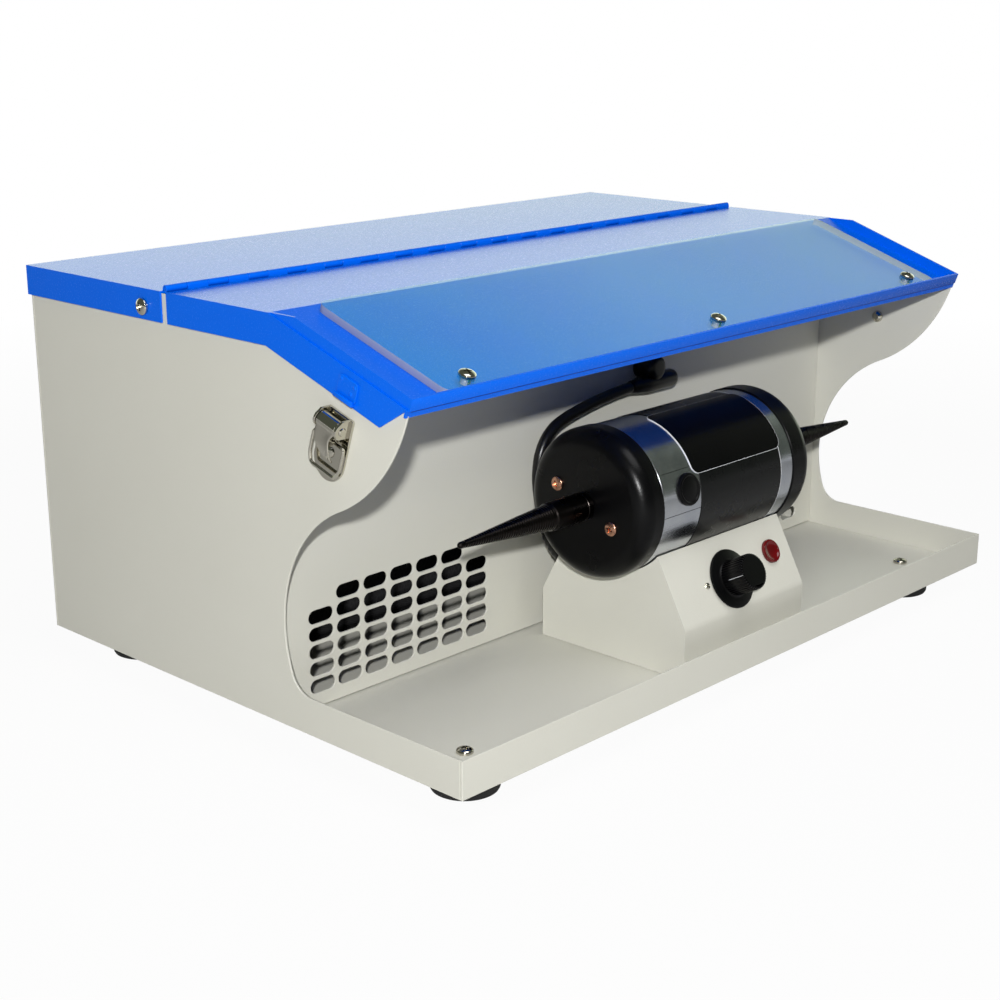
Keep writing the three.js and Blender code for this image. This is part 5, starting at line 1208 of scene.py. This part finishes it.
def hose(name, line, radii):
    """A round body along a line, with a radius for each of its points."""
    around = 32
    shape = bmesh.new()
    side_way = Vector((1, 0, 0.001))
    rings = []
    for i, (here, radius) in enumerate(zip(line, radii)):
        ahead = (line[min(i + 1, len(line) - 1)] - line[max(i - 1, 0)]).normalized()
        side_way = (side_way - ahead * side_way.dot(ahead)).normalized()
        up_way = ahead.cross(side_way)
        rings.append([
            shape.verts.new((here + side_way * (radius * math.cos(2 * math.pi * k / around))
                             + up_way * (radius * math.sin(2 * math.pi * k / around))) * MM)
            for k in range(around)])
    skin(shape, rings)
    shape.faces.new(rings[0][::-1])
    shape.faces.new(rings[-1])
    bmesh.ops.recalc_face_normals(shape, faces=shape.faces)
    return smooth(filled(bpy.data.meshes.new(name), shape), 45)


def boot_radius(far):
    """The boot's radius this far along it: a plain neck, then a ribbed taper."""
    if far <= 1.2:
        return BOOT_NECK
    ribs = BOOT_RIB * math.cos(far * 2 * math.pi / BOOT_RIB_PITCH) if 3 < far < 18 else 0
    return BOOT_WIDE - BOOT_TAPER * far / (BOOT_LENGTH - 1) + ribs


sheath = dull(
    "cable_sheath", colour(9, 9, 10), 0.32, (500.0, 3.0, 0.00003), (70.0, 2.0, 0.12, 0.26), IOR=1.4)

route = smooth_line(LEAD_ROUTE, 6)
lead_line = [LEAD_EXIT, *[p for p in route if (p - LEAD_EXIT).dot(EXIT_WAY) > 1.0 or p.z > 70]]
lead_length = sum((b - a).length for a, b in zip(lead_line, lead_line[1:]))
curve = round_wire("lead", [place * MM for place in lead_line], LEAD_RADIUS, 8, False)
lead = built("lead", curve, sheath, "cabinet", None, "motor_lead")

boot_line = [LEAD_EXIT - EXIT_WAY * 1.0, *lead_line]
steps = ((b - a).length for a, b in zip(boot_line, boot_line[1:]))
walked = [far for far in accumulate(steps, initial=0.0) if far < BOOT_LENGTH]
radii = [boot_radius(far) for far in walked[:-1]] + [LEAD_RADIUS + 0.05]
built("lead_boot", hose("lead_boot", boot_line[:len(walked)], radii), sheath, "cabinet")

boss = turned("gland_boss", [
    (-3.2, 0), (-3.2, 5.5), (0.2, 5.5), (0.2, 6.9), (0.6, 7.2), (11.4, 7.2), (12.9, 6.5),
    (13.8, 5.1), (14, 3.6), (14, 0)], 64)
tail = turned("gland_tail", [
    (24.5, 0), (24.5, 3.3), (24.9, 3.55), (36.5, 5.1), (38, 5.2), (59.5, 5.2), (61.8, 4.6),
    (63.1, 3.2), (63.5, 1.5), (63.5, 0)], 48)
boss_place = (GLAND_PLACE[0], INTAKE_Y, GLAND_PLACE[1] + 0.6)
relief = merged("strain_relief", (boss, turn_to(*UPRIGHT, boss_place)),
                (tail, turn_to(*ALONG_X, TAIL_PLACE)))
built("strain_relief", relief, sheath, "cabinet", None, "lead_gland")

# Filter, fan and inlet
# Black reticulated foam in front of the black partition, with a strip of it laid along its foot; a
# moulded axial fan; a mains inlet with a rocker.

APRON_LOW, APRON_HIGH = (-222.6, 26, 17.5), (222.6, 41.6, 20.5)

foam, shader, wire = finish("black_foam", colour(16, 16, 17), 0.95)
cells = wire.node("TexVoronoi", None, {"Vector": across(wire), "Scale": 420.0})
wire.feed(shader.inputs["Base Color"], cells.clamped().blend(colour(7, 7, 8), colour(34, 34, 36)))
bump(wire, shader, cells, 0.0006)
dressed("dust_filter", foam, 0.5)
dressed("partition", satin_black, 0.3)
apron = brick("filter_apron", APRON_LOW, APRON_HIGH)
eased(built("filter_apron", apron, foam, "cabinet"), 0.6, 2)
for node in ("fan_frame", "fan_wheel", "power_inlet"):
    dressed(node, black_plastic, 0.3)
dressed("switch_rocker", red_lens, 0.3)
